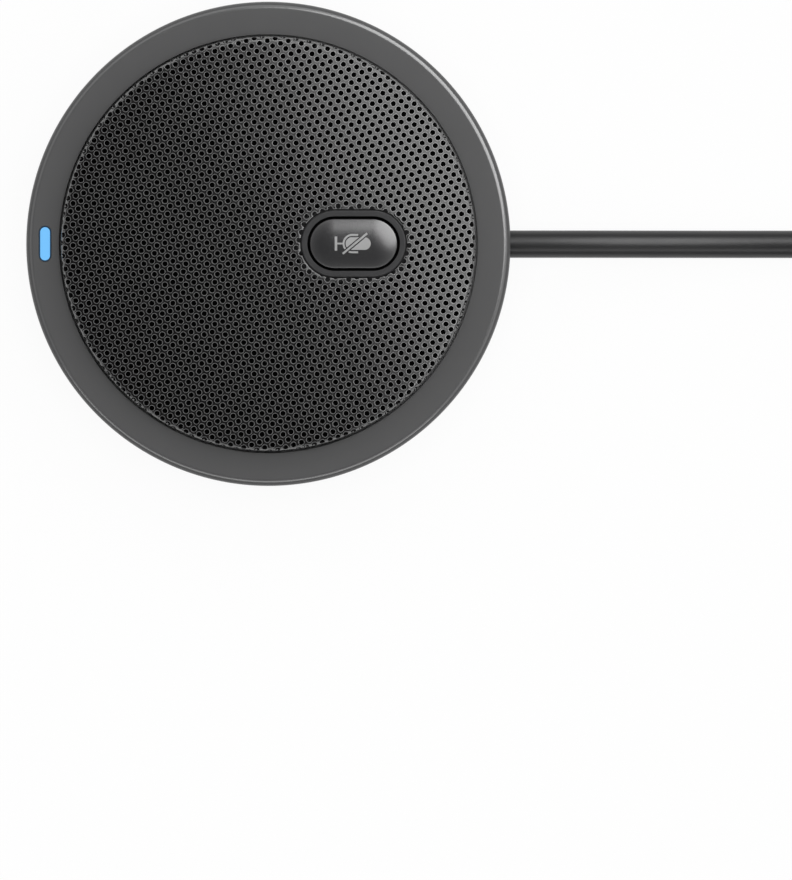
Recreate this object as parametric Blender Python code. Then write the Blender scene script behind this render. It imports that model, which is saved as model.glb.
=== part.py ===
"""A round conference microphone with a mute button, a status light and a captive USB cord.

Lengths are in metres and +Z is up. The origin is on the microphone's axis, where its foot meets the
table. The cord leaves through the wall at +X, and the status light is in the ring at -X.
"""

import math

import bmesh
import bpy
import numpy as np
from mathutils import Matrix, Vector

# Clearances and cuts
SEAT_GAP = 0.0003  # between pieces that rest on each other
PRESS_GAP = 0.0001  # between pieces that are soldered or pressed together
CUT_OVERRUN = 0.0010  # how far a cutter runs past the face that it opens
MERGE_DISTANCE = 0.000001

# Housing: the ring that shows, its side wall, and the skirt that hangs inside it
BODY_DIAMETER = 0.0880
HOUSING_HEIGHT = 0.0145
TOP_EDGE_RADIUS = 0.0015
BOTTOM_EDGE_RADIUS = 0.0013
WALL = 0.0021
RING_PLATE = 0.0020
RING_WIDTH = 0.0059
SKIRT_WALL = 0.0012
SKIRT_DEPTH = 0.0033
LEDGE_WIDTH = 0.0018
LEDGE_THICKNESS = 0.0015
REBATE_WIDTH = 0.0005

# Foot ring and base cover
FOOT_SHOW = 0.0008
FOOT_THICKNESS = 0.0012
FOOT_WIDTH = 0.0120
FOOT_EDGE_MARGIN = 0.00005
COVER_THICKNESS = 0.0016
COVER_SCREW_MARGIN = 0.0043  # from the hub's edge to a base screw's axis
WEIGHT_THICKNESS = 0.0030
WEIGHT_MARGIN = 0.0010  # from the weight's edge to the screw posts

# Screws: head radius, head height, shank radius, and the shank's length under the head
BASE_SCREW_HEAD_RADIUS = 0.0023
BASE_SCREW_HEAD_HEIGHT = 0.0010
BASE_SCREW_RADIUS = 0.00115
BASE_SCREW_LENGTH = 0.0070
BOARD_SCREW_HEAD_RADIUS = 0.0016
BOARD_SCREW_HEAD_HEIGHT = 0.0009
BOARD_SCREW_RADIUS = 0.0008
BOARD_SCREW_LENGTH = 0.0035
CLAMP_SCREW_HEAD_RADIUS = 0.0014
CLAMP_SCREW_HEAD_HEIGHT = 0.0009
CLAMP_SCREW_RADIUS = 0.0007
CLAMP_SCREW_LENGTH = 0.0030
SCREW_DRIVE_SHARE = 0.5  # of the head's radius and height
COUNTERBORE_ROOM = 0.0003
PILOT_ROOM = 0.00015
THROUGH_ROOM = 0.0003

# Grille: a drawn and perforated steel cup with tabs folded under the frame
GRILLE_RISE = 0.00435
GRILLE_SHEET = 0.0006
GRILLE_EDGE_RADIUS = 0.0013
GRILLE_GROOVE = 0.0003  # the black line between ring and grille
TAB_WIDTH = 0.0060
TAB_REACH = 0.0024
HOLE_DIAMETER = 0.00090
HOLE_PITCH = 0.00135  # from hole to hole in a row, and from row to row
HOLE_START_X = 0.00031
HOLE_START_Y = 0.00023
HOLE_EDGE_MARGIN = 0.0011
HOLE_BEZEL_MARGIN = 0.0006

# Inner frame
FRAME_THICKNESS = 0.0015
POST_RADIUS = 0.0030
BOSS_RADIUS = 0.0022
BOSS_MARGIN = 0.0031  # from the housing's ledge to a boss
PILOT_TIP = 0.0010  # how far a pilot hole runs past its screw
CUP_WALL = 0.0012
CUP_FLOOR = 0.0010
CUP_DROP = 0.0013
CUP_RISE = 0.0015

# Mute button, the frame round it, and its switch
BUTTON_PLACE_SHARE = 0.41  # of the grille's radius, from the axis to the button
BUTTON_LENGTH = 0.0159
BUTTON_WIDTH = 0.0090
BUTTON_STAND = 0.0004  # how far the crown stands above the grille
BUTTON_CROWN = 0.00075
BUTTON_FLANGE = 0.0008
BUTTON_FLANGE_REACH = 0.0008
BUTTON_PLAY = 0.0002
BUTTON_TRAVEL = 0.0006
BUTTON_GAP = 0.00035
STEM_LENGTH = 0.0060
STEM_WIDTH = 0.0040
BEZEL_RIM = 0.00123
BEZEL_RECESS = 0.00005
BEZEL_LIP = 0.0014
BEZEL_SHOULDER = 0.0012
BEZEL_WALL = 0.0017
BEZEL_FIT = 0.0002
SWITCH_SIDE = 0.0060
SWITCH_HEIGHT = 0.0035
PLUNGER_RADIUS = 0.00175
PLUNGER_RISE = 0.0015
PLUNGER_DEPTH = 0.0012
PLUNGER_FIT = 0.0002
DOME_ROOM = 0.0002
DOME_SHEET = 0.00015
DOME_RISE = 0.0004

# Microphone capsule in its rubber boot
CAPSULE_RADIUS = 0.00485
CAPSULE_HEIGHT = 0.0040
BOOT_WALL = 0.0013
BOOT_FLOOR = 0.0006
BOOT_GRIP = 0.0032
LEAD_RADIUS = 0.00035
LEAD_SPREAD = 0.00127
LEAD_HOLE_RADIUS = 0.0022
FOAM_EDGE_GAP = 0.0007

# Circuit board and what it carries
BOARD_THICKNESS = 0.0016
CHIP_SIDE = 0.0070
CHIP_HEIGHT = 0.0009
CRYSTAL_LENGTH = 0.0050
CRYSTAL_WIDTH = 0.0032
CRYSTAL_HEIGHT = 0.0011
REGULATOR_LENGTH = 0.0065
REGULATOR_WIDTH = 0.0035
REGULATOR_HEIGHT = 0.0016
CAPACITOR_RADIUS = 0.0025
CAPACITOR_HEIGHT = 0.0036
CAPACITOR_INSET = 0.0115  # from the board's edge to a capacitor's axis
SOCKET_LENGTH = 0.0037
SOCKET_WIDTH = 0.0100
SOCKET_HEIGHT = 0.0036
SOCKET_ROOM = 0.0005  # from the socket to the notch in the weight plate
WIRE_PLUG_LENGTH = 0.0014
WIRE_PLUG_WIDTH = 0.0092
WIRE_PLUG_HEIGHT = 0.0026
WIRE_PLUG_DROP = 0.0005
WIRE_DIAMETER = 0.0009
WIRE_LENGTH = 0.0035
WIRE_BUNDLE = 0.0013  # between conductors where they leave the cord
WIRE_PITCH = 0.0020  # between conductors at the plug

# Status light
LIGHT_LENGTH = 0.0062
LIGHT_SIDE_GAP = 0.00035
LIGHT_SLOT_GAP = 0.0002
LIGHT_FLANGE = 0.0008
LIGHT_FLANGE_REACH = 0.0012
LIGHT_RECESS = 0.00005
LED_LENGTH = 0.0016
LED_WIDTH = 0.0008
LED_HEIGHT = 0.0008

# Cord, its anchor inside the wall, and the saddle that clamps it
CORD_DIAMETER = 0.0050
CORD_HOLE_GAP = 0.00025
ANCHOR_SLEEVE = 0.0003
ANCHOR_RIM = 0.0005
ANCHOR_FLANGE = 0.0009
ANCHOR_LENGTH = 0.0097
ANCHOR_FACE_GAP = 0.0004
ANCHOR_FLOOR_GAP = 0.0002
CRADLE_WIDTH = 0.0140
CRADLE_LENGTH = 0.0030
CRADLE_DROP = 0.0002  # of its top below the cord's axis
SADDLE_SHEET = 0.0005
SADDLE_LENGTH = 0.0025
CLAMP_SCREW_Y = 0.0052
NOTCH_MARGIN = 0.0005

# Wound cord, its ties and the plug on its end
COIL_CENTRE = (0.1565, -0.0034)
COIL_MEAN_DIAMETER = 0.0578
COIL_PITCH = 0.0055
TIE_THICKNESS = 0.0008
TIE_WIDTH = 0.0080
PLUG_OFFSET = (0.0280, 0.0200)  # of the plug's cord end from the coil's centre
PLUG_WIDTH = 0.0155
PLUG_THICKNESS = 0.0078
PLUG_BODY_LENGTH = 0.0200
PLUG_EDGE = 0.0007
RELIEF_LENGTH = 0.0130
RELIEF_START_WIDTH = 0.0064
RELIEF_START_THICKNESS = 0.0060
RELIEF_END_WIDTH = 0.0090
RELIEF_END_THICKNESS = 0.0070
RELIEF_GROOVE = 0.0004
SHELL_WIDTH = 0.0120
SHELL_THICKNESS = 0.0045
SHELL_LENGTH = 0.0150
SHELL_SHEET = 0.0003
SHELL_SEAT_DEPTH = 0.0033
SHELL_WINDOW = 0.0022
SHELL_WINDOW_SPREAD = 0.0030
TONGUE_GAP = 0.00015
TONGUE_BASE = 0.0040
TONGUE_THICKNESS = 0.0018
TONGUE_RECESS = 0.0010

# Counts and angles
BODY_SIDES = 64
INNER_SIDES = 40
SMALL_SIDES = 16
HOLE_SIDES = 6
END_STEPS = 10  # round one half-round end of an oblong
EDGE_STEPS = 3  # round a small rolled edge
TAB_COUNT = 8
HOLE_STEP = 6  # the solid carries every sixth hole of each row, to stay light
HOLE_ROW_TURN = math.radians(-45)
BASE_SCREW_ANGLES = [math.radians(a) for a in (45, 135, 225, 315)]
BOARD_SCREW_ANGLES = [math.radians(a) for a in (90, 210, 330)]
CAPACITOR_ANGLES = [math.radians(a) for a in (160, 195)]
COIL_TURNS = 9
COIL_START_ANGLE = math.radians(150)
COIL_POINTS_A_TURN = 24
TIE_ANGLES = [math.radians(a) for a in (192, 282)]
RELIEF_RIBS = 5
SMOOTH_ANGLE = math.radians(35)

# Routes of the cord's free stretches, chosen by hand. The first and last points come from what they meet.
RUN_ROUTE = (
    (0.0530, 0.0000, 0.00650),
    (0.0595, 0.0000, 0.00600),
    (0.0670, 0.0000, 0.00490),
    (0.0760, 0.0000, 0.00355),
    (0.0850, 0.0000, 0.00272),
    (0.0930, 0.0000, 0.00256),
    (0.0985, 0.0001, 0.00258),
    (0.1032, 0.0008, 0.00268),
    (0.1085, 0.0030, 0.00300),
)
# These are measured from the coil's centre.
TAIL_ROUTE = (
    (-0.0225, 0.0357, 0.00935),
    (-0.0115, 0.0409, 0.01010),
    (0.0000, 0.0429, 0.01135),
    (0.0100, 0.0424, 0.01265),
    (0.0182, 0.0392, 0.01400),
    (0.0242, 0.0335, 0.01525),
)

# The crown of the mute button, as shares: how far in from the cap's edge, and how far below its top.
CROWN_SHARES = ((0.0, 1.0), (0.05, 0.68), (0.15, 0.5), (0.4, 0.15), (0.7, 0.03), (0.9, 0.0))

# Places on the board, as shares of the radius of the circle that the base screws lie on.
CHIP_SHARES = (0.0, 0.47)
CRYSTAL_SHARES = (0.35, 0.47)
REGULATOR_SHARES = (0.0, -0.55)

# Heights and radii that several pieces share
BODY_RADIUS = BODY_DIAMETER / 2
HOUSING_BOTTOM = FOOT_SHOW
RING_TOP = HOUSING_BOTTOM + HOUSING_HEIGHT
RING_UNDERSIDE = RING_TOP - RING_PLATE
LEDGE_TOP = RING_TOP - SKIRT_DEPTH
LEDGE_BOTTOM = LEDGE_TOP - LEDGE_THICKNESS
WALL_INNER_RADIUS = BODY_RADIUS - WALL
REBATE_RADIUS = WALL_INNER_RADIUS + REBATE_WIDTH
OPENING_RADIUS = BODY_RADIUS - RING_WIDTH
SKIRT_OUTER_RADIUS = OPENING_RADIUS + SKIRT_WALL
LEDGE_INNER_RADIUS = OPENING_RADIUS - LEDGE_WIDTH

COVER_BOTTOM = FOOT_THICKNESS + SEAT_GAP
COVER_TOP = COVER_BOTTOM + COVER_THICKNESS
COVER_RADIUS = REBATE_RADIUS - SEAT_GAP
FOOT_OUTER_RADIUS = COVER_RADIUS - FOOT_EDGE_MARGIN
FOOT_INNER_RADIUS = FOOT_OUTER_RADIUS - FOOT_WIDTH
HUB_RADIUS = FOOT_INNER_RADIUS - SEAT_GAP
SCREW_CIRCLE_RADIUS = HUB_RADIUS - COVER_SCREW_MARGIN

GRILLE_RADIUS = OPENING_RADIUS - GRILLE_GROOVE
GRILLE_INNER_RADIUS = GRILLE_RADIUS - GRILLE_SHEET
GRILLE_TOP = RING_TOP + GRILLE_RISE
GRILLE_UNDERSIDE = GRILLE_TOP - GRILLE_SHEET

FRAME_RADIUS = GRILLE_INNER_RADIUS - SEAT_GAP
FRAME_BOTTOM = LEDGE_TOP + SEAT_GAP
FRAME_TOP = FRAME_BOTTOM + FRAME_THICKNESS
BOSS_CIRCLE_RADIUS = LEDGE_INNER_RADIUS - BOSS_MARGIN - BOSS_RADIUS

BOARD_TOP = LEDGE_BOTTOM - SEAT_GAP
BOARD_BOTTOM = BOARD_TOP - BOARD_THICKNESS
BOARD_RADIUS = WALL_INNER_RADIUS - SEAT_GAP

BUTTON_X = GRILLE_RADIUS * BUTTON_PLACE_SHARE
CAPSULE_X = -BUTTON_X
CUP_BOTTOM = FRAME_BOTTOM - CUP_DROP
BOOT_BOTTOM = CUP_BOTTOM + CUP_FLOOR + SEAT_GAP
BOOT_INNER_RADIUS = CAPSULE_RADIUS + PRESS_GAP
BOOT_RADIUS = BOOT_INNER_RADIUS + BOOT_WALL
CUP_BORE_RADIUS = BOOT_RADIUS + SEAT_GAP
CAPSULE_BOTTOM = BOOT_BOTTOM + BOOT_FLOOR + PRESS_GAP
CAPSULE_TOP = CAPSULE_BOTTOM + CAPSULE_HEIGHT
FOAM_TOP = GRILLE_UNDERSIDE - SEAT_GAP
FOAM_BOTTOM = CAPSULE_TOP + SEAT_GAP

OPENING_LENGTH = BUTTON_LENGTH + 2 * BUTTON_GAP
OPENING_WIDTH = BUTTON_WIDTH + 2 * BUTTON_GAP
NECK_LENGTH = OPENING_LENGTH + 2 * BEZEL_RIM
NECK_WIDTH = OPENING_WIDTH + 2 * BEZEL_RIM
BEZEL_LENGTH = NECK_LENGTH + 2 * BEZEL_SHOULDER
BEZEL_WIDTH = NECK_WIDTH + 2 * BEZEL_SHOULDER
BEZEL_BOTTOM = FRAME_TOP + SEAT_GAP
BEZEL_TOP = GRILLE_TOP - BEZEL_RECESS
LIP_BOTTOM = BEZEL_TOP - BEZEL_LIP
SHOULDER_TOP = GRILLE_UNDERSIDE - SEAT_GAP

SWITCH_BOTTOM = BOARD_TOP + PRESS_GAP
SWITCH_TOP = SWITCH_BOTTOM + SWITCH_HEIGHT
PLUNGER_TOP = SWITCH_TOP + PLUNGER_RISE
PLUNGER_BOTTOM = SWITCH_TOP - PLUNGER_DEPTH
SWITCH_BORE_FLOOR = PLUNGER_BOTTOM - BUTTON_TRAVEL - DOME_ROOM

ANCHOR_RADIUS = CORD_DIAMETER / 2 + ANCHOR_SLEEVE
ANCHOR_RIM_RADIUS = ANCHOR_RADIUS + ANCHOR_RIM
CORD_HEIGHT = COVER_TOP + ANCHOR_FLOOR_GAP + ANCHOR_RIM_RADIUS
ANCHOR_OUTER_X = WALL_INNER_RADIUS - ANCHOR_FACE_GAP
ANCHOR_INNER_X = ANCHOR_OUTER_X - ANCHOR_LENGTH
CRADLE_INNER_X = ANCHOR_INNER_X + ANCHOR_FLANGE + SEAT_GAP
CRADLE_OUTER_X = CRADLE_INNER_X + CRADLE_LENGTH
CRADLE_TOP = CORD_HEIGHT - CRADLE_DROP
CRADLE_MIDDLE_X = (CRADLE_INNER_X + CRADLE_OUTER_X) / 2
SADDLE_FOOT_BOTTOM = CRADLE_TOP + SEAT_GAP
SADDLE_FOOT_TOP = SADDLE_FOOT_BOTTOM + SADDLE_SHEET
WIRE_PLUG_OUTER_X = ANCHOR_INNER_X - WIRE_LENGTH - 2 * SEAT_GAP
WIRE_PLUG_INNER_X = WIRE_PLUG_OUTER_X - WIRE_PLUG_LENGTH
WIRE_PLUG_TOP = BOARD_BOTTOM - WIRE_PLUG_DROP
SOCKET_INNER_X = WIRE_PLUG_INNER_X - SEAT_GAP - SOCKET_LENGTH

LIGHT_X = -(SKIRT_OUTER_RADIUS + WALL_INNER_RADIUS) / 2
LIGHT_WIDTH = WALL_INNER_RADIUS - SKIRT_OUTER_RADIUS - 2 * LIGHT_SIDE_GAP

COIL_LIFT = TIE_THICKNESS + SEAT_GAP
COIL_INNER_RADIUS = COIL_MEAN_DIAMETER / 2 - COIL_PITCH * COIL_TURNS / 4
COIL_OUTER_RADIUS = COIL_MEAN_DIAMETER / 2 + COIL_PITCH * COIL_TURNS / 4
COIL_TOP = COIL_LIFT + COIL_PITCH + CORD_DIAMETER
PLUG_HEIGHT = COIL_TOP + SEAT_GAP + PLUG_THICKNESS / 2

# Finishes: colour, roughness, metallic
FINISHES = {
    "ring_grey": ((0.105, 0.105, 0.108), 0.42, 0.55),
    "grille_black": ((0.060, 0.060, 0.062), 0.38, 0.50),
    "bezel_grey": ((0.065, 0.065, 0.068), 0.45, 0.30),
    "button_grey": ((0.110, 0.110, 0.113), 0.36, 0.20),
    "plastic_black": ((0.022, 0.022, 0.023), 0.55, 0.00),
    "rubber_black": ((0.018, 0.018, 0.018), 0.80, 0.00),
    "foam_black": ((0.014, 0.014, 0.015), 0.95, 0.00),
    "steel": ((0.560, 0.570, 0.580), 0.32, 1.00),
    "aluminium": ((0.740, 0.740, 0.750), 0.35, 1.00),
    "board_green": ((0.020, 0.110, 0.050), 0.45, 0.00),
    "lens_blue": ((0.180, 0.560, 1.000), 0.25, 0.00),
    "led_white": ((0.850, 0.850, 0.800), 0.40, 0.00),
    "connector_cream": ((0.760, 0.720, 0.600), 0.50, 0.00),
    "cord_black": ((0.045, 0.045, 0.047), 0.50, 0.00),
    "wire_red": ((0.550, 0.020, 0.020), 0.45, 0.00),
    "wire_black": ((0.020, 0.020, 0.020), 0.45, 0.00),
    "wire_green": ((0.020, 0.280, 0.060), 0.45, 0.00),
    "wire_white": ((0.750, 0.750, 0.740), 0.45, 0.00),
    "plug_tongue_black": ((0.030, 0.030, 0.032), 0.45, 0.00),
    "tie_fabric": ((0.030, 0.030, 0.032), 0.90, 0.00),
}


# Tools for making shapes


def finish(name):
    """The material of that name, made when it is first asked for."""
    if name in bpy.data.materials:
        return bpy.data.materials[name]
    colour, roughness, metallic = FINISHES[name]
    material = bpy.data.materials.new(name)
    material.use_nodes = True
    shader = material.node_tree.nodes["Principled BSDF"]
    shader.inputs["Base Color"].default_value = (*colour, 1.0)
    shader.inputs["Roughness"].default_value = roughness
    shader.inputs["Metallic"].default_value = metallic
    return material


def piece(name, shape, surface, place=(0.0, 0.0, 0.0)):
    """An object made from a bmesh, with its faces turned outwards."""
    bmesh.ops.recalc_face_normals(shape, faces=shape.faces)
    mesh = bpy.data.meshes.new(name)
    shape.to_mesh(mesh)
    shape.free()
    mesh.materials.append(finish(surface))
    mesh.shade_smooth()
    mesh.set_sharp_from_angle(angle=SMOOTH_ANGLE)
    made = bpy.data.objects.new(name, mesh)
    made.location = place
    bpy.context.scene.collection.objects.link(made)
    return made


def shaped_by(target, shape, operation, place=None):
    """Cuts a shape out of the target, or joins it on. Its origin is the target's, unless a place is given."""
    tool = piece(f"{target.name}_{operation.lower()}", shape, target.data.materials[0].name)
    tool.location = target.location if place is None else place
    tool.parent = target.parent
    tool.display_type = "WIRE"
    tool.hide_render = True
    step = target.modifiers.new(operation.title(), "BOOLEAN")
    step.operation = operation
    step.object = tool
    return target


def turned(profile, sides):
    """A closed outline of (radius, height) points, spun about Z."""
    shape = bmesh.new()
    corners = [shape.verts.new((radius, 0.0, height)) for radius, height in profile]
    edges = [
        shape.edges.new((first, second))
        for first, second in zip(corners, corners[1:] + corners[:1])
        if first.co.x > 0.0 or second.co.x > 0.0
    ]
    bmesh.ops.spin(
        shape,
        geom=corners + edges,
        cent=(0.0, 0.0, 0.0),
        axis=(0.0, 0.0, 1.0),
        angle=2 * math.pi,
        steps=sides,
    )
    bmesh.ops.remove_doubles(shape, verts=shape.verts, dist=MERGE_DISTANCE)
    return shape


def prism(outline, bottom, top):
    """An outline of (x, y) points, raised from one height to another."""
    shape = bmesh.new()
    base = shape.faces.new([shape.verts.new((x, y, bottom)) for x, y in outline])
    raised = bmesh.ops.extrude_face_region(shape, geom=[base])["geom"]
    corners = [item for item in raised if isinstance(item, bmesh.types.BMVert)]
    bmesh.ops.translate(shape, verts=corners, vec=(0.0, 0.0, top - bottom))
    return shape


def stacked(loops, closed=False):
    """A skin over loops of (x, y, z) points, with flat ends, or running back to its first loop."""
    shape = bmesh.new()
    rings = [[shape.verts.new(point) for point in loop] for loop in loops]
    if not closed:
        shape.faces.new(rings[0])
        shape.faces.new(rings[-1])
    for ring, following in zip(rings, rings[1:] + rings[:1] if closed else rings[1:]):
        for i, corner in enumerate(ring):
            shape.faces.new((ring[i - 1], corner, following[i], following[i - 1]))
    return shape


def add_block(shape, low, high):
    """Adds a box between two opposite corners."""
    middle = (Vector(low) + Vector(high)) / 2
    size = Vector(high) - Vector(low)
    place = Matrix.Translation(middle) @ Matrix.Diagonal((*size, 1.0))
    bmesh.ops.create_cube(shape, size=1.0, matrix=place)


def add_drum(shape, x, y, radius, bottom, top, sides=SMALL_SIDES):
    """Adds an upright drum on the axis at (x, y)."""
    bmesh.ops.create_cone(
        shape,
        cap_ends=True,
        segments=sides,
        radius1=radius,
        radius2=radius,
        depth=top - bottom,
        matrix=Matrix.Translation((x, y, (bottom + top) / 2)),
    )


def add_bar(shape, start_x, end_x, height, radius, sides=INNER_SIDES):
    """Adds a round bar that lies along X at a height above the table."""
    place = Matrix.Translation(((start_x + end_x) / 2, 0.0, height))
    bmesh.ops.create_cone(
        shape,
        cap_ends=True,
        segments=sides,
        radius1=radius,
        radius2=radius,
        depth=end_x - start_x,
        matrix=place @ Matrix.Rotation(math.pi / 2, 4, "Y"),
    )


def box_piece(name, surface, middle, size):
    """A plain box by its middle and its size."""
    shape = bmesh.new()
    half = Vector(size) / 2
    add_block(shape, Vector(middle) - half, Vector(middle) + half)
    return piece(name, shape, surface)


def arc(centre, radius, start, end, steps):
    """Points round part of a circle, from one angle to another."""
    angles = [start + (end - start) * i / steps for i in range(steps + 1)]
    return [(centre[0] + radius * math.cos(a), centre[1] + radius * math.sin(a)) for a in angles]


def oblong(length, width):
    """Points round an outline with straight sides along X and half-round ends."""
    reach = (length - width) / 2
    right = arc((reach, 0.0), width / 2, -math.pi / 2, math.pi / 2, END_STEPS)
    left = arc((-reach, 0.0), width / 2, math.pi / 2, 3 * math.pi / 2, END_STEPS)
    return right + left


def oblong_loop(length, width, height):
    """An oblong outline at one height."""
    return [(x, y, height) for x, y in oblong(length, width)]


def rounded_box(left, right, bottom, top, radius):
    """Points round a rectangle with rounded corners."""
    corners = (
        (right - radius, bottom + radius, -math.pi / 2),
        (right - radius, top - radius, 0.0),
        (left + radius, top - radius, math.pi / 2),
        (left + radius, bottom + radius, math.pi),
    )
    points = []
    for x, y, start in corners:
        points += arc((x, y), radius, start, start + math.pi / 2, EDGE_STEPS)
    return points


def round_place(radius, angle):
    """The (x, y) place at a radius and an angle from the microphone's axis."""
    return radius * math.cos(angle), radius * math.sin(angle)


def screw(name, place, tip_up, head_radius, head_height, radius, length, head_seat):
    """A pan-head screw. head_seat is the height of the face under its head."""
    way = 1 if tip_up else -1
    outer = head_seat - way * head_height
    drive = outer + way * head_height * SCREW_DRIVE_SHARE
    profile = [
        (0.0, drive),
        (head_radius * SCREW_DRIVE_SHARE, outer),
        (head_radius, outer),
        (head_radius, head_seat),
        (radius, head_seat),
        (radius, head_seat + way * length),
        (0.0, head_seat + way * length),
    ]
    return piece(name, turned(profile, SMALL_SIDES), "steel", (*place, 0.0))


# Housing, foot and base


def make_housing():
    """The ring and side wall in one, with a skirt and a ledge inside that carry the frame."""
    profile = arc(
        (BODY_RADIUS - BOTTOM_EDGE_RADIUS, HOUSING_BOTTOM + BOTTOM_EDGE_RADIUS),
        BOTTOM_EDGE_RADIUS,
        -math.pi / 2,
        0.0,
        EDGE_STEPS,
    )
    profile += arc(
        (BODY_RADIUS - TOP_EDGE_RADIUS, RING_TOP - TOP_EDGE_RADIUS),
        TOP_EDGE_RADIUS,
        0.0,
        math.pi / 2,
        EDGE_STEPS + 1,
    )
    profile += [
        (OPENING_RADIUS, RING_TOP),
        (OPENING_RADIUS, LEDGE_TOP),
        (LEDGE_INNER_RADIUS, LEDGE_TOP),
        (LEDGE_INNER_RADIUS, LEDGE_BOTTOM),
        (SKIRT_OUTER_RADIUS, LEDGE_BOTTOM),
        (SKIRT_OUTER_RADIUS, RING_UNDERSIDE),
        (WALL_INNER_RADIUS, RING_UNDERSIDE),
        (WALL_INNER_RADIUS, COVER_TOP + SEAT_GAP),
        (REBATE_RADIUS, COVER_TOP + SEAT_GAP),
        (REBATE_RADIUS, HOUSING_BOTTOM),
    ]
    housing = piece("housing", turned(profile, BODY_SIDES), "ring_grey")

    cord_way = bmesh.new()
    hole_radius = CORD_DIAMETER / 2 + CORD_HOLE_GAP
    add_bar(cord_way, ANCHOR_OUTER_X, BODY_RADIUS + CUT_OVERRUN, CORD_HEIGHT, hole_radius)
    shaped_by(housing, cord_way, "DIFFERENCE")

    slot = prism(
        [(LIGHT_X + y, x) for x, y in light_outline(LIGHT_SLOT_GAP)],
        RING_UNDERSIDE - CUT_OVERRUN,
        RING_TOP + CUT_OVERRUN,
    )
    return shaped_by(housing, slot, "DIFFERENCE")


def make_foot_ring():
    """The rubber ring that the microphone stands on."""
    profile = [
        (FOOT_OUTER_RADIUS, 0.0),
        (FOOT_OUTER_RADIUS, FOOT_THICKNESS),
        (FOOT_INNER_RADIUS, FOOT_THICKNESS),
        (FOOT_INNER_RADIUS, 0.0),
    ]
    return piece("foot_ring", turned(profile, BODY_SIDES), "rubber_black")


def make_base_cover():
    """The moulded base, with a raised hub inside the foot ring and the cradle for the cord's anchor."""
    profile = [
        (0.0, HOUSING_BOTTOM),
        (HUB_RADIUS, HOUSING_BOTTOM),
        (HUB_RADIUS, COVER_BOTTOM),
        (COVER_RADIUS, COVER_BOTTOM),
        (COVER_RADIUS, COVER_TOP),
        (0.0, COVER_TOP),
    ]
    cover = piece("base_cover", turned(profile, BODY_SIDES), "plastic_black")

    cradle = bmesh.new()
    add_block(
        cradle,
        (CRADLE_INNER_X, -CRADLE_WIDTH / 2, COVER_BOTTOM + COVER_THICKNESS / 2),
        (CRADLE_OUTER_X, CRADLE_WIDTH / 2, CRADLE_TOP),
    )
    shaped_by(cover, cradle, "UNION")

    saddle_way = bmesh.new()
    add_bar(
        saddle_way,
        CRADLE_INNER_X - CUT_OVERRUN,
        CRADLE_OUTER_X + CUT_OVERRUN,
        CORD_HEIGHT,
        ANCHOR_RADIUS + ANCHOR_FLOOR_GAP,
    )
    shaped_by(cover, saddle_way, "DIFFERENCE")

    holes = bmesh.new()
    for angle in BASE_SCREW_ANGLES:
        x, y = round_place(SCREW_CIRCLE_RADIUS, angle)
        head_top = HOUSING_BOTTOM + BASE_SCREW_HEAD_HEIGHT + COUNTERBORE_ROOM
        wide = BASE_SCREW_HEAD_RADIUS + COUNTERBORE_ROOM
        narrow = BASE_SCREW_RADIUS + THROUGH_ROOM
        bore = stacked(
            [
                ring_points(wide, HOUSING_BOTTOM - CUT_OVERRUN),
                ring_points(wide, head_top),
                ring_points(narrow, head_top),
                ring_points(narrow, COVER_TOP + CUT_OVERRUN),
            ]
        )
        add_shape(holes, bore, x, y)
    for side in (-1, 1):
        add_drum(
            holes,
            CRADLE_MIDDLE_X,
            side * CLAMP_SCREW_Y,
            CLAMP_SCREW_RADIUS + PILOT_ROOM,
            SADDLE_FOOT_TOP - CLAMP_SCREW_LENGTH - PILOT_TIP / 2,
            CRADLE_TOP + CUT_OVERRUN,
        )
    return shaped_by(cover, holes, "DIFFERENCE")


def ring_points(radius, height):
    """A circle of points at one height."""
    angles = [2 * math.pi * i / SMALL_SIDES for i in range(SMALL_SIDES)]
    return [(radius * math.cos(a), radius * math.sin(a), height) for a in angles]


def add_shape(shape, other, x, y):
    """Copies another shape in, moved to (x, y)."""
    bmesh.ops.recalc_face_normals(other, faces=other.faces)
    copies = {}
    for corner in other.verts:
        copies[corner] = shape.verts.new(corner.co + Vector((x, y, 0.0)))
    for face in other.faces:
        shape.faces.new([copies[corner] for corner in face.verts])
    other.free()


def make_base_screws():
    """Four screws through the base cover into the frame's posts."""
    seat = HOUSING_BOTTOM + BASE_SCREW_HEAD_HEIGHT + COUNTERBORE_ROOM - PRESS_GAP
    for i, angle in enumerate(BASE_SCREW_ANGLES):
        screw(
            f"base_screw_{i + 1}",
            round_place(SCREW_CIRCLE_RADIUS, angle),
            True,
            BASE_SCREW_HEAD_RADIUS,
            BASE_SCREW_HEAD_HEIGHT,
            BASE_SCREW_RADIUS,
            BASE_SCREW_LENGTH,
            seat,
        )


def make_weight_plate():
    """The steel disc that keeps the light body from being dragged by its cord."""
    radius = SCREW_CIRCLE_RADIUS - POST_RADIUS - WEIGHT_MARGIN
    bottom = COVER_TOP + SEAT_GAP
    top = bottom + WEIGHT_THICKNESS
    profile = [(0.0, bottom), (radius, bottom), (radius, top), (0.0, top)]
    plate = piece("weight_plate", turned(profile, INNER_SIDES), "steel")
    notch = bmesh.new()
    notch_half = SOCKET_WIDTH / 2 + SOCKET_ROOM
    add_block(
        notch,
        (SOCKET_INNER_X - SOCKET_ROOM, -notch_half, bottom - CUT_OVERRUN),
        (WIRE_PLUG_OUTER_X, notch_half, top + CUT_OVERRUN),
    )
    return shaped_by(plate, notch, "DIFFERENCE")


# Grille, frame and foam


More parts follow.
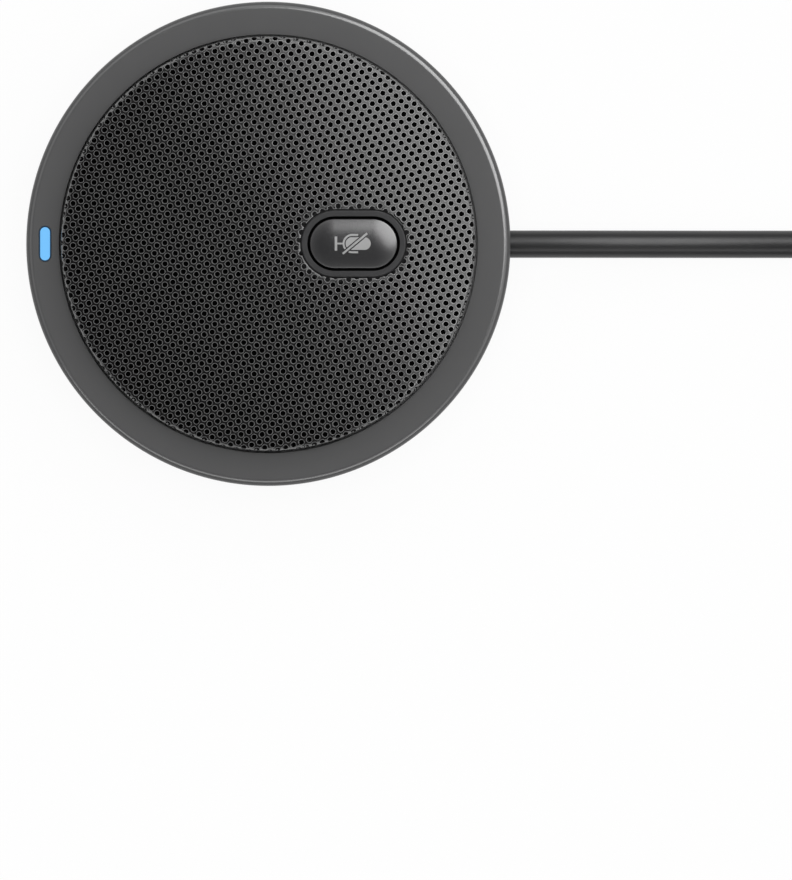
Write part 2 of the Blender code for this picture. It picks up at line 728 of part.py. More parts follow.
def hole_places():
    """Where the solid's holes go: staggered slanting rows, clear of the rim and the button."""
    spacing = HOLE_PITCH * HOLE_STEP
    reach = GRILLE_RADIUS - GRILLE_EDGE_RADIUS - HOLE_EDGE_MARGIN
    rows = math.ceil(2 * reach / spacing)
    cos, sin = math.cos(HOLE_ROW_TURN), math.sin(HOLE_ROW_TURN)
    places = []
    for i in range(-rows, rows + 1):
        for j in range(-rows, rows + 1):
            along = spacing * (i + j / 2)
            across = spacing * j
            x = HOLE_START_X + along * cos - across * sin
            y = HOLE_START_Y + along * sin + across * cos
            if math.hypot(x, y) < reach and not near_button(x, y):
                places.append((x, y))
    return places


def near_button(x, y):
    """Whether a hole at (x, y) would meet the opening for the button's frame."""
    reach = (NECK_LENGTH - NECK_WIDTH) / 2
    along = min(max(x - BUTTON_X, -reach), reach)
    limit = NECK_WIDTH / 2 + BEZEL_FIT + HOLE_DIAMETER / 2 + HOLE_BEZEL_MARGIN
    return math.hypot(x - BUTTON_X - along, y) < limit


def make_grille():
    """The perforated steel cup, with tabs folded inwards under the frame's edge."""
    inner_edge_radius = GRILLE_EDGE_RADIUS - GRILLE_SHEET
    corner = (GRILLE_RADIUS - GRILLE_EDGE_RADIUS, GRILLE_TOP - GRILLE_EDGE_RADIUS)
    profile = [(GRILLE_RADIUS, FRAME_BOTTOM)]
    profile += arc(corner, GRILLE_EDGE_RADIUS, 0.0, math.pi / 2, EDGE_STEPS)
    profile += [(0.0, GRILLE_TOP), (0.0, GRILLE_UNDERSIDE)]
    profile += arc(corner, inner_edge_radius, math.pi / 2, 0.0, EDGE_STEPS)
    profile += [(GRILLE_INNER_RADIUS, FRAME_BOTTOM)]
    grille = piece("grille", turned(profile, BODY_SIDES), "grille_black")

    tabs = bmesh.new()
    add_tabs(tabs, 0.0, FRAME_BOTTOM, FRAME_BOTTOM + GRILLE_SHEET, GRILLE_SHEET / 2)
    shaped_by(grille, tabs, "UNION")

    neck = prism(
        [
            (BUTTON_X + x, y)
            for x, y in oblong(NECK_LENGTH + 2 * BEZEL_FIT, NECK_WIDTH + 2 * BEZEL_FIT)
        ],
        GRILLE_UNDERSIDE - CUT_OVERRUN,
        GRILLE_TOP + CUT_OVERRUN,
    )
    shaped_by(grille, neck, "DIFFERENCE")

    holes = bmesh.new()
    low, high = GRILLE_UNDERSIDE - GRILLE_SHEET / 2, GRILLE_TOP + GRILLE_SHEET / 2
    for x, y in hole_places():
        add_drum(holes, x, y, HOLE_DIAMETER / 2, low, high, HOLE_SIDES)
    return shaped_by(grille, holes, "DIFFERENCE")


def add_tabs(shape, room, bottom, top, overlap):
    """Adds blocks for the grille's folded tabs, each wider and longer by the room given."""
    low = Vector((GRILLE_INNER_RADIUS - TAB_REACH - room, -TAB_WIDTH / 2 - room, bottom))
    high = Vector((GRILLE_INNER_RADIUS + overlap, TAB_WIDTH / 2 + room, top))
    for i in range(TAB_COUNT):
        turn = Matrix.Rotation(2 * math.pi * (i + 1 / 2) / TAB_COUNT, 4, "Z")
        block = bmesh.new()
        add_block(block, low, high)
        bmesh.ops.transform(block, matrix=turn, verts=block.verts)
        add_shape(shape, block, 0.0, 0.0)


def make_inner_frame():
    """The moulded plate that carries the grille, the capsule, the button's frame and the board."""
    profile = [
        (0.0, FRAME_BOTTOM),
        (FRAME_RADIUS, FRAME_BOTTOM),
        (FRAME_RADIUS, FRAME_TOP),
        (0.0, FRAME_TOP),
    ]
    frame = piece("inner_frame", turned(profile, INNER_SIDES), "plastic_black")

    middle = (FRAME_BOTTOM + FRAME_TOP) / 2
    added = bmesh.new()
    for angle in BASE_SCREW_ANGLES:
        x, y = round_place(SCREW_CIRCLE_RADIUS, angle)
        add_drum(added, x, y, POST_RADIUS, COVER_TOP + SEAT_GAP, middle)
    for angle in BOARD_SCREW_ANGLES:
        x, y = round_place(BOSS_CIRCLE_RADIUS, angle)
        add_drum(added, x, y, BOSS_RADIUS, BOARD_TOP + SEAT_GAP, middle)
    cup_radius = CUP_BORE_RADIUS + CUP_WALL
    add_drum(added, CAPSULE_X, 0.0, cup_radius, CUP_BOTTOM, FRAME_TOP + CUP_RISE, INNER_SIDES)
    shaped_by(frame, added, "UNION")

    removed = bmesh.new()
    cup_floor = CUP_BOTTOM + CUP_FLOOR
    add_drum(
        removed,
        CAPSULE_X,
        0.0,
        CUP_BORE_RADIUS,
        cup_floor,
        FRAME_TOP + CUP_RISE + CUT_OVERRUN,
        INNER_SIDES,
    )
    for angle in BASE_SCREW_ANGLES:
        x, y = round_place(SCREW_CIRCLE_RADIUS, angle)
        tip = COVER_BOTTOM + BASE_SCREW_LENGTH + PILOT_TIP
        add_drum(removed, x, y, BASE_SCREW_RADIUS + PILOT_ROOM, COVER_TOP - CUT_OVERRUN, tip)
    for angle in BOARD_SCREW_ANGLES:
        x, y = round_place(BOSS_CIRCLE_RADIUS, angle)
        tip = FRAME_TOP - FRAME_THICKNESS / 4
        low = BOARD_TOP - CUT_OVERRUN
        add_drum(removed, x, y, BOARD_SCREW_RADIUS + PILOT_ROOM, low, tip)
    switch_half = SWITCH_SIDE / 2 + SEAT_GAP
    add_block(
        removed,
        (BUTTON_X - switch_half, -switch_half, FRAME_BOTTOM - CUT_OVERRUN),
        (BUTTON_X + switch_half, switch_half, FRAME_TOP + CUT_OVERRUN),
    )
    pocket_top = FRAME_BOTTOM + GRILLE_SHEET + SEAT_GAP
    add_tabs(removed, SEAT_GAP, FRAME_BOTTOM - CUT_OVERRUN, pocket_top, CUT_OVERRUN)
    shaped_by(frame, removed, "DIFFERENCE")

    lead_way = bmesh.new()
    low, high = CUP_BOTTOM - CUT_OVERRUN, cup_floor + CUT_OVERRUN / 2
    add_drum(lead_way, CAPSULE_X, 0.0, LEAD_HOLE_RADIUS, low, high)
    return shaped_by(frame, lead_way, "DIFFERENCE")


def make_foam_liner():
    """Open-cell foam under the grille, against wind and dust."""
    radius = GRILLE_INNER_RADIUS - FOAM_EDGE_GAP
    profile = [(0.0, FOAM_BOTTOM), (radius, FOAM_BOTTOM), (radius, FOAM_TOP), (0.0, FOAM_TOP)]
    foam = piece("foam_liner", turned(profile, INNER_SIDES), "foam_black")
    window = prism(
        [
            (BUTTON_X + x, y)
            for x, y in oblong(BEZEL_LENGTH + 2 * SEAT_GAP, BEZEL_WIDTH + 2 * SEAT_GAP)
        ],
        FOAM_BOTTOM - CUT_OVERRUN,
        FOAM_TOP + CUT_OVERRUN,
    )
    return shaped_by(foam, window, "DIFFERENCE")


# Mute button and its switch


def make_button_bezel():
    """The oval frame that guides the button and stops its flange from coming out."""
    cavity_length = BEZEL_LENGTH - 2 * BEZEL_WALL
    cavity_width = BEZEL_WIDTH - 2 * BEZEL_WALL
    loops = [
        oblong_loop(BEZEL_LENGTH, BEZEL_WIDTH, BEZEL_BOTTOM),
        oblong_loop(BEZEL_LENGTH, BEZEL_WIDTH, SHOULDER_TOP),
        oblong_loop(NECK_LENGTH, NECK_WIDTH, SHOULDER_TOP),
        oblong_loop(NECK_LENGTH, NECK_WIDTH, BEZEL_TOP),
        oblong_loop(OPENING_LENGTH, OPENING_WIDTH, BEZEL_TOP),
        oblong_loop(OPENING_LENGTH, OPENING_WIDTH, LIP_BOTTOM),
        oblong_loop(cavity_length, cavity_width, LIP_BOTTOM),
        oblong_loop(cavity_length, cavity_width, BEZEL_BOTTOM),
    ]
    return piece("button_bezel", stacked(loops, closed=True), "bezel_grey", (BUTTON_X, 0.0, 0.0))


def make_mute_button():
    """The oval cap with its crown, the flange that holds it in, and the stem that works the switch."""
    flange_length = BUTTON_LENGTH + 2 * BUTTON_FLANGE_REACH
    flange_width = BUTTON_WIDTH + 2 * BUTTON_FLANGE_REACH
    flange_top = LIP_BOTTOM - BUTTON_PLAY
    flange_bottom = flange_top - BUTTON_FLANGE
    crown_top = GRILLE_TOP + BUTTON_STAND
    loops = [
        oblong_loop(STEM_LENGTH, STEM_WIDTH, PLUNGER_TOP + PRESS_GAP),
        oblong_loop(STEM_LENGTH, STEM_WIDTH, flange_bottom),
        oblong_loop(flange_length, flange_width, flange_bottom),
        oblong_loop(flange_length, flange_width, flange_top),
        oblong_loop(BUTTON_LENGTH, BUTTON_WIDTH, flange_top),
    ]
    for inset_share, drop_share in CROWN_SHARES:
        inset = BUTTON_WIDTH * inset_share
        height = crown_top - BUTTON_CROWN * drop_share
        loops.append(oblong_loop(BUTTON_LENGTH - inset, BUTTON_WIDTH - inset, height))
    return piece("mute_button", stacked(loops), "button_grey", (BUTTON_X, 0.0, 0.0))


def make_switch():
    """A small push switch: its body, the plunger in it, and the sprung dome under the plunger."""
    body = box_piece(
        "switch_body",
        "plastic_black",
        (BUTTON_X, 0.0, (SWITCH_BOTTOM + SWITCH_TOP) / 2),
        (SWITCH_SIDE, SWITCH_SIDE, SWITCH_HEIGHT),
    )
    bore = bmesh.new()
    bore_radius = PLUNGER_RADIUS + PLUNGER_FIT
    add_drum(bore, BUTTON_X, 0.0, bore_radius, SWITCH_BORE_FLOOR, SWITCH_TOP + CUT_OVERRUN)
    shaped_by(body, bore, "DIFFERENCE")

    plunger = [
        (0.0, PLUNGER_BOTTOM),
        (PLUNGER_RADIUS, PLUNGER_BOTTOM),
        (PLUNGER_RADIUS, PLUNGER_TOP),
        (0.0, PLUNGER_TOP),
    ]
    piece("switch_plunger", turned(plunger, SMALL_SIDES), "plastic_black", (BUTTON_X, 0.0, 0.0))

    rim = SWITCH_BORE_FLOOR + PRESS_GAP
    crown = rim + DOME_SHEET
    dome = [
        (PLUNGER_RADIUS, rim),
        (PLUNGER_RADIUS, rim + DOME_SHEET),
        (PLUNGER_RADIUS / 2, crown + DOME_RISE * 3 / 4),
        (0.0, crown + DOME_RISE),
        (0.0, rim + DOME_RISE),
        (PLUNGER_RADIUS / 2, rim + DOME_RISE * 3 / 4),
    ]
    piece("switch_dome", turned(dome, SMALL_SIDES), "steel", (BUTTON_X, 0.0, 0.0))


# Capsule


def make_capsule():
    """The microphone capsule in its rubber boot, and its two leads down to the board."""
    profile = [
        (0.0, CAPSULE_BOTTOM),
        (CAPSULE_RADIUS, CAPSULE_BOTTOM),
        (CAPSULE_RADIUS, CAPSULE_TOP),
        (CAPSULE_RADIUS / 2, CAPSULE_TOP),
        (CAPSULE_RADIUS / 2, CAPSULE_TOP - CAPSULE_HEIGHT / 10),
        (0.0, CAPSULE_TOP - CAPSULE_HEIGHT / 10),
    ]
    place = (CAPSULE_X, 0.0, 0.0)
    piece("mic_capsule", turned(profile, INNER_SIDES), "aluminium", place)

    boot_top = CAPSULE_BOTTOM + BOOT_GRIP
    boot = [
        (LEAD_HOLE_RADIUS, BOOT_BOTTOM),
        (BOOT_RADIUS, BOOT_BOTTOM),
        (BOOT_RADIUS, boot_top),
        (BOOT_INNER_RADIUS, boot_top),
        (BOOT_INNER_RADIUS, BOOT_BOTTOM + BOOT_FLOOR),
        (LEAD_HOLE_RADIUS, BOOT_BOTTOM + BOOT_FLOOR),
    ]
    piece("capsule_boot", turned(boot, INNER_SIDES), "rubber_black", place)

    for side, surface in ((-1, "wire_red"), (1, "wire_black")):
        lead = bmesh.new()
        low, high = BOARD_TOP + PRESS_GAP, CAPSULE_BOTTOM - PRESS_GAP
        add_drum(lead, CAPSULE_X + side * LEAD_SPREAD, 0.0, LEAD_RADIUS, low, high)
        piece(f"capsule_lead_{'minus' if side > 0 else 'plus'}", lead, surface)


# Circuit board


def make_main_board():
    """The round circuit board, notched for the cord's anchor and holed for the frame's posts."""
    profile = [
        (0.0, BOARD_BOTTOM),
        (BOARD_RADIUS, BOARD_BOTTOM),
        (BOARD_RADIUS, BOARD_TOP),
        (0.0, BOARD_TOP),
    ]
    board = piece("main_board", turned(profile, INNER_SIDES), "board_green")
    low, high = BOARD_BOTTOM - CUT_OVERRUN, BOARD_TOP + CUT_OVERRUN
    removed = bmesh.new()
    for angle in BASE_SCREW_ANGLES:
        add_drum(removed, *round_place(SCREW_CIRCLE_RADIUS, angle), POST_RADIUS + SEAT_GAP, low, high)
    for angle in BOARD_SCREW_ANGLES:
        hole_radius = BOARD_SCREW_RADIUS + THROUGH_ROOM
        add_drum(removed, *round_place(BOSS_CIRCLE_RADIUS, angle), hole_radius, low, high)
    notch_half = CRADLE_WIDTH / 2 + NOTCH_MARGIN
    add_block(
        removed,
        (ANCHOR_INNER_X - NOTCH_MARGIN, -notch_half, low),
        (BOARD_RADIUS + CUT_OVERRUN, notch_half, high),
    )
    return shaped_by(board, removed, "DIFFERENCE")


def make_board_screws():
    """Three screws from below, through the board into the frame's bosses."""
    for i, angle in enumerate(BOARD_SCREW_ANGLES):
        screw(
            f"board_screw_{i + 1}",
            round_place(BOSS_CIRCLE_RADIUS, angle),
            True,
            BOARD_SCREW_HEAD_RADIUS,
            BOARD_SCREW_HEAD_HEIGHT,
            BOARD_SCREW_RADIUS,
            BOARD_SCREW_LENGTH,
            BOARD_BOTTOM - PRESS_GAP,
        )


def board_place(place_shares, height):
    """A place over or under the board, from its shares of the screw circle's radius."""
    return (*(share * SCREW_CIRCLE_RADIUS for share in place_shares), height)


def make_board_parts():
    """The chips on top of the board, and the capacitors and the socket under it."""
    base = BOARD_TOP + PRESS_GAP
    box_piece(
        "usb_audio_chip",
        "plastic_black",
        board_place(CHIP_SHARES, base + CHIP_HEIGHT / 2),
        (CHIP_SIDE, CHIP_SIDE, CHIP_HEIGHT),
    )
    box_piece(
        "clock_crystal",
        "steel",
        board_place(CRYSTAL_SHARES, base + CRYSTAL_HEIGHT / 2),
        (CRYSTAL_LENGTH, CRYSTAL_WIDTH, CRYSTAL_HEIGHT),
    )
    box_piece(
        "voltage_regulator",
        "plastic_black",
        board_place(REGULATOR_SHARES, base + REGULATOR_HEIGHT / 2),
        (REGULATOR_LENGTH, REGULATOR_WIDTH, REGULATOR_HEIGHT),
    )
    box_piece(
        "status_led",
        "led_white",
        (LIGHT_X, 0.0, base + LED_HEIGHT / 2),
        (LED_WIDTH, LED_LENGTH, LED_HEIGHT),
    )
    under = BOARD_BOTTOM - PRESS_GAP
    for i, angle in enumerate(CAPACITOR_ANGLES):
        can = bmesh.new()
        x, y = round_place(BOARD_RADIUS - CAPACITOR_INSET, angle)
        add_drum(can, x, y, CAPACITOR_RADIUS, under - CAPACITOR_HEIGHT, under)
        piece(f"capacitor_{i + 1}", can, "aluminium")
    box_piece(
        "wire_socket",
        "connector_cream",
        (SOCKET_INNER_X + SOCKET_LENGTH / 2, 0.0, under - SOCKET_HEIGHT / 2),
        (SOCKET_LENGTH, SOCKET_WIDTH, SOCKET_HEIGHT),
    )


# Status light


def light_outline(room):
    """The lens's oblong outline, larger by the room given on every side."""
    return oblong(LIGHT_LENGTH + 2 * room, LIGHT_WIDTH + 2 * room)


def make_light_pipe():
    """The clear bar that brings the light up from the board to the ring's face."""
    flange_top = RING_UNDERSIDE - SEAT_GAP
    flange_bottom = flange_top - LIGHT_FLANGE
    bottom = BOARD_TOP + PRESS_GAP + LED_HEIGHT + SEAT_GAP
    flange_length = LIGHT_LENGTH + 2 * LIGHT_FLANGE_REACH
    top = RING_TOP - LIGHT_RECESS
    loops = [
        oblong_loop(LIGHT_LENGTH, LIGHT_WIDTH, bottom),
        oblong_loop(LIGHT_LENGTH, LIGHT_WIDTH, flange_bottom),
        oblong_loop(flange_length, LIGHT_WIDTH, flange_bottom),
        oblong_loop(flange_length, LIGHT_WIDTH, flange_top),
        oblong_loop(LIGHT_LENGTH, LIGHT_WIDTH, flange_top),
        oblong_loop(LIGHT_LENGTH, LIGHT_WIDTH, top),
    ]
    upright = [[(LIGHT_X + y, x, z) for x, y, z in loop] for loop in loops]
    shape = stacked(upright)
    bmesh.ops.remove_doubles(shape, verts=shape.verts, dist=MERGE_DISTANCE)
    return piece("light_pipe", shape, "lens_blue")


# Cord anchor and conductors


def make_cord_anchor():
    """The strain relief moulded on the cord: a sleeve between two rims, held by the saddle."""
    profile = [
        (0.0, 0.0),
        (ANCHOR_RIM_RADIUS, 0.0),
        (ANCHOR_RIM_RADIUS, ANCHOR_FLANGE),
        (ANCHOR_RADIUS, ANCHOR_FLANGE),
        (ANCHOR_RADIUS, ANCHOR_LENGTH - ANCHOR_FLANGE),
        (ANCHOR_RIM_RADIUS, ANCHOR_LENGTH - ANCHOR_FLANGE),
        (ANCHOR_RIM_RADIUS, ANCHOR_LENGTH),
        (0.0, ANCHOR_LENGTH),
    ]
    anchor = piece("cord_anchor", turned(profile, SMALL_SIDES), "rubber_black")
    anchor.location = (ANCHOR_INNER_X, 0.0, CORD_HEIGHT)
    anchor.rotation_euler = (0.0, math.pi / 2, 0.0)
    return anchor


def make_cord_clamp():
    """A steel saddle over the anchor's sleeve, with its two screws."""
    inner = ANCHOR_RADIUS + ANCHOR_FLOOR_GAP
    outer = inner + SADDLE_SHEET
    rise_low = SADDLE_FOOT_BOTTOM - CORD_HEIGHT
    rise_high = SADDLE_FOOT_TOP - CORD_HEIGHT
    low_angle = math.asin(rise_low / inner)
    high_angle = math.asin(rise_high / outer)
    half = CRADLE_WIDTH / 2
    outline = [(half, rise_low), (half, rise_high)]
    outline += arc((0.0, 0.0), outer, high_angle, math.pi - high_angle, END_STEPS)
    outline += [(-half, rise_high), (-half, rise_low)]
    outline += arc((0.0, 0.0), inner, math.pi - low_angle, low_angle, END_STEPS)
    saddle = piece("cord_clamp", prism(outline, -SADDLE_LENGTH / 2, SADDLE_LENGTH / 2), "steel")
    saddle.location = (CRADLE_MIDDLE_X, 0.0, CORD_HEIGHT)
    saddle.rotation_euler = (math.pi / 2, 0.0, math.pi / 2)

    holes = bmesh.new()
    low, high = SADDLE_FOOT_BOTTOM - CUT_OVERRUN / 2, SADDLE_FOOT_TOP + CUT_OVERRUN / 2
    for side in (-1, 1):
        hole_radius = CLAMP_SCREW_RADIUS + PILOT_ROOM
        add_drum(holes, CRADLE_MIDDLE_X, side * CLAMP_SCREW_Y, hole_radius, low, high)
    shaped_by(saddle, holes, "DIFFERENCE", (0.0, 0.0, 0.0))

    for i, side in enumerate((-1, 1)):
        screw(
            f"clamp_screw_{i + 1}",
            (CRADLE_MIDDLE_X, side * CLAMP_SCREW_Y),
            False,
            CLAMP_SCREW_HEAD_RADIUS,
            CLAMP_SCREW_HEAD_HEIGHT,
            CLAMP_SCREW_RADIUS,
            CLAMP_SCREW_LENGTH,
            SADDLE_FOOT_TOP + PRESS_GAP,
        )


def make_wires():
    """The crimp housing that plugs into the board's socket, and the four conductors from the cord."""
    plug_height = WIRE_PLUG_TOP - WIRE_PLUG_HEIGHT / 2
    box_piece(
        "wire_plug",
        "connector_cream",
        ((WIRE_PLUG_INNER_X + WIRE_PLUG_OUTER_X) / 2, 0.0, plug_height),
        (WIRE_PLUG_LENGTH, WIRE_PLUG_WIDTH, WIRE_PLUG_HEIGHT),
    )
    start_x = WIRE_PLUG_OUTER_X + SEAT_GAP
    end_x = ANCHOR_INNER_X - SEAT_GAP
    half = WIRE_BUNDLE / 2
    ends = {"red": (-half, -half), "black": (-half, half), "green": (half, half), "white": (half, -half)}
    for i, (colour, (end_y, end_rise)) in enumerate(ends.items()):
        start_y = WIRE_PITCH * (i - (len(ends) - 1) / 2)
        points = []
        for step in range(END_STEPS + 1):
            share = step / END_STEPS
            blend = share * share * (3 - 2 * share)
            x = start_x + (end_x - start_x) * share
            y = start_y + (end_y - start_y) * blend
            z = plug_height + (CORD_HEIGHT + end_rise - plug_height) * blend
            points.append((x, y, z))
        tube(f"wire_{colour}", points, WIRE_DIAMETER, f"wire_{colour}", 2)


# Free cord


def tube(name, points, diameter, surface, bevel_resolution):
    """A round tube with closed ends along a line of points."""
    curve = bpy.data.curves.new(name, "CURVE")
    curve.dimensions = "3D"
    curve.bevel_depth = diameter / 2
    curve.bevel_resolution = bevel_resolution
    curve.use_fill_caps = True
    spline = curve.splines.new("POLY")
    spline.points.add(len(points) - 1)
    for knot, point in zip(spline.points, points):
        knot.co = (*point, 1.0)
    curve.materials.append(finish(surface))
    made = bpy.data.objects.new(name, curve)
    bpy.context.scene.collection.objects.link(made)
    return made


def smooth_line(route, spacing):
    """Points about that far apart on a cubic spline through the route's points."""
    route = np.array([tuple(point) for point in route])
    along = np.concatenate([[0.0], np.cumsum(np.linalg.norm(np.diff(route, axis=0), axis=1))])
    gaps = np.diff(along)
    count = len(route)
    matrix = np.zeros((count, count))
    right = np.zeros((count, 3))
    matrix[0, 0] = matrix[-1, -1] = 1.0
    slopes = np.diff(route, axis=0) / gaps[:, None]
    for i in range(1, count - 1):
        matrix[i, i - 1 : i + 2] = gaps[i - 1], 2 * (gaps[i - 1] + gaps[i]), gaps[i]
        right[i] = 6 * (slopes[i] - slopes[i - 1])
    bends = np.linalg.solve(matrix, right)
    at = np.linspace(0.0, along[-1], math.ceil(along[-1] / spacing) + 1)
    leg = np.clip(np.searchsorted(along, at, side="right") - 1, 0, count - 2)
    far, near, gap = (at - along[leg])[:, None], (along[leg + 1] - at)[:, None], gaps[leg][:, None]
    points = (
        (bends[leg] * near**3 + bends[leg + 1] * far**3) / (6 * gap)
        + (route[leg] / gap - bends[leg] * gap / 6) * near
        + (route[leg + 1] / gap - bends[leg + 1] * gap / 6) * far
    )
    return [Vector(point) for point in points]


def coil_point(turn):
    """The cord's centre after so many turns: in on the lower layer, up, and out on the upper one."""
    middle = COIL_TURNS / 2
    angle = COIL_START_ANGLE - 2 * math.pi * turn
    radius = COIL_INNER_RADIUS + COIL_PITCH * abs(turn - middle)
    climb = min(max(2 * (turn - middle) + 1 / 2, 0.0), 1.0)
    layer = climb * climb * (3 - 2 * climb)
    return Vector(
        (
            COIL_CENTRE[0] + radius * math.cos(angle),
            COIL_CENTRE[1] + radius * math.sin(angle),
            COIL_LIFT + CORD_DIAMETER / 2 + COIL_PITCH * layer,
        )
    )


def coil_line():
    """The coil's points, with a straight run of one diameter at each end."""
    steps = COIL_TURNS * COIL_POINTS_A_TURN
    points = [coil_point(i / COIL_POINTS_A_TURN) for i in range(steps + 1)]
    way_in = (points[1] - points[0]).normalized()
    way_out = (points[-1] - points[-2]).normalized()
    return [points[0] - way_in * CORD_DIAMETER, *points, points[-1] + way_out * CORD_DIAMETER]


def least_gap(points):
    """The least air gap between stretches of the coil that lie at least half a turn apart."""
    places = np.array([tuple(point) for point in points])
    half_turn = COIL_POINTS_A_TURN // 2
    least = min(
        np.linalg.norm(places[i + half_turn :] - places[i], axis=1).min()
        for i in range(len(places) - half_turn)
    )
    return least - CORD_DIAMETER


def make_cord():
    """The cord from the wall to the table, its coil, and its end up to the plug."""
    coil = coil_line()
    way_in = (coil[1] - coil[0]).normalized()
    way_out = (coil[-1] - coil[-2]).normalized()
    tube("cord_coil", coil, CORD_DIAMETER, "cord_black", 1)
    print(f"Least gap inside the coil: {least_gap(coil) * 1000:.2f} mm")

    start = Vector((ANCHOR_OUTER_X + SEAT_GAP, 0.0, CORD_HEIGHT))
    end = coil[0] - way_in * SEAT_GAP
    bend_start, bend_end = start + Vector((CORD_DIAMETER, 0.0, 0.0)), end - way_in * CORD_DIAMETER
    run = [start, *smooth_line([bend_start, *RUN_ROUTE, bend_end], 2 * CORD_DIAMETER), end]
    tube("cord_run", run, CORD_DIAMETER, "cord_black", 2)

    start = coil[-1] + way_out * SEAT_GAP
    centre = Vector((*COIL_CENTRE, 0.0))
    end = centre + Vector((*PLUG_OFFSET, PLUG_HEIGHT)) + Vector((0.0, SEAT_GAP, 0.0))
    bend_start, bend_end = start + way_out * CORD_DIAMETER, end + Vector((0.0, CORD_DIAMETER, 0.0))
    route = [centre + Vector(point) for point in TAIL_ROUTE]
    tail = [start, *smooth_line([bend_start, *route, bend_end], 2 * CORD_DIAMETER), end]
    tube("cord_tail", tail, CORD_DIAMETER, "cord_black", 2)
    stretches = sum(
        sum((b - a).length for a, b in zip(line, line[1:])) for line in (run, coil, tail)
    )
    print(f"Cord length in all: {stretches:.3f} m")


def make_ties():
    """Two straps round the coil's bundle of turns."""
    bundle_inner = COIL_INNER_RADIUS - CORD_DIAMETER / 2
    inner = math.sqrt(bundle_inner**2 - (TIE_WIDTH / 2) ** 2) - SEAT_GAP
    outer = COIL_OUTER_RADIUS + CORD_DIAMETER / 2 + SEAT_GAP
    low, high = TIE_THICKNESS, COIL_TOP + SEAT_GAP
    radius = CORD_DIAMETER / 2
    inside = rounded_box(inner, outer, low, high, radius)
    outside = rounded_box(
        inner - TIE_THICKNESS,
        outer + TIE_THICKNESS,
        low - TIE_THICKNESS,
        high + TIE_THICKNESS,
        radius + TIE_THICKNESS,
    )
    half = TIE_WIDTH / 2
    for i, angle in enumerate(TIE_ANGLES):
        loops = [
            [(x, -half, z) for x, z in outside],
            [(x, half, z) for x, z in outside],
            [(x, half, z) for x, z in inside],
            [(x, -half, z) for x, z in inside],
        ]
        tie = piece(f"coil_tie_{i + 1}", stacked(loops, closed=True), "tie_fabric")
        tie.location = (*COIL_CENTRE, 0.0)
        tie.rotation_euler = (0.0, 0.0, angle)


# Plug


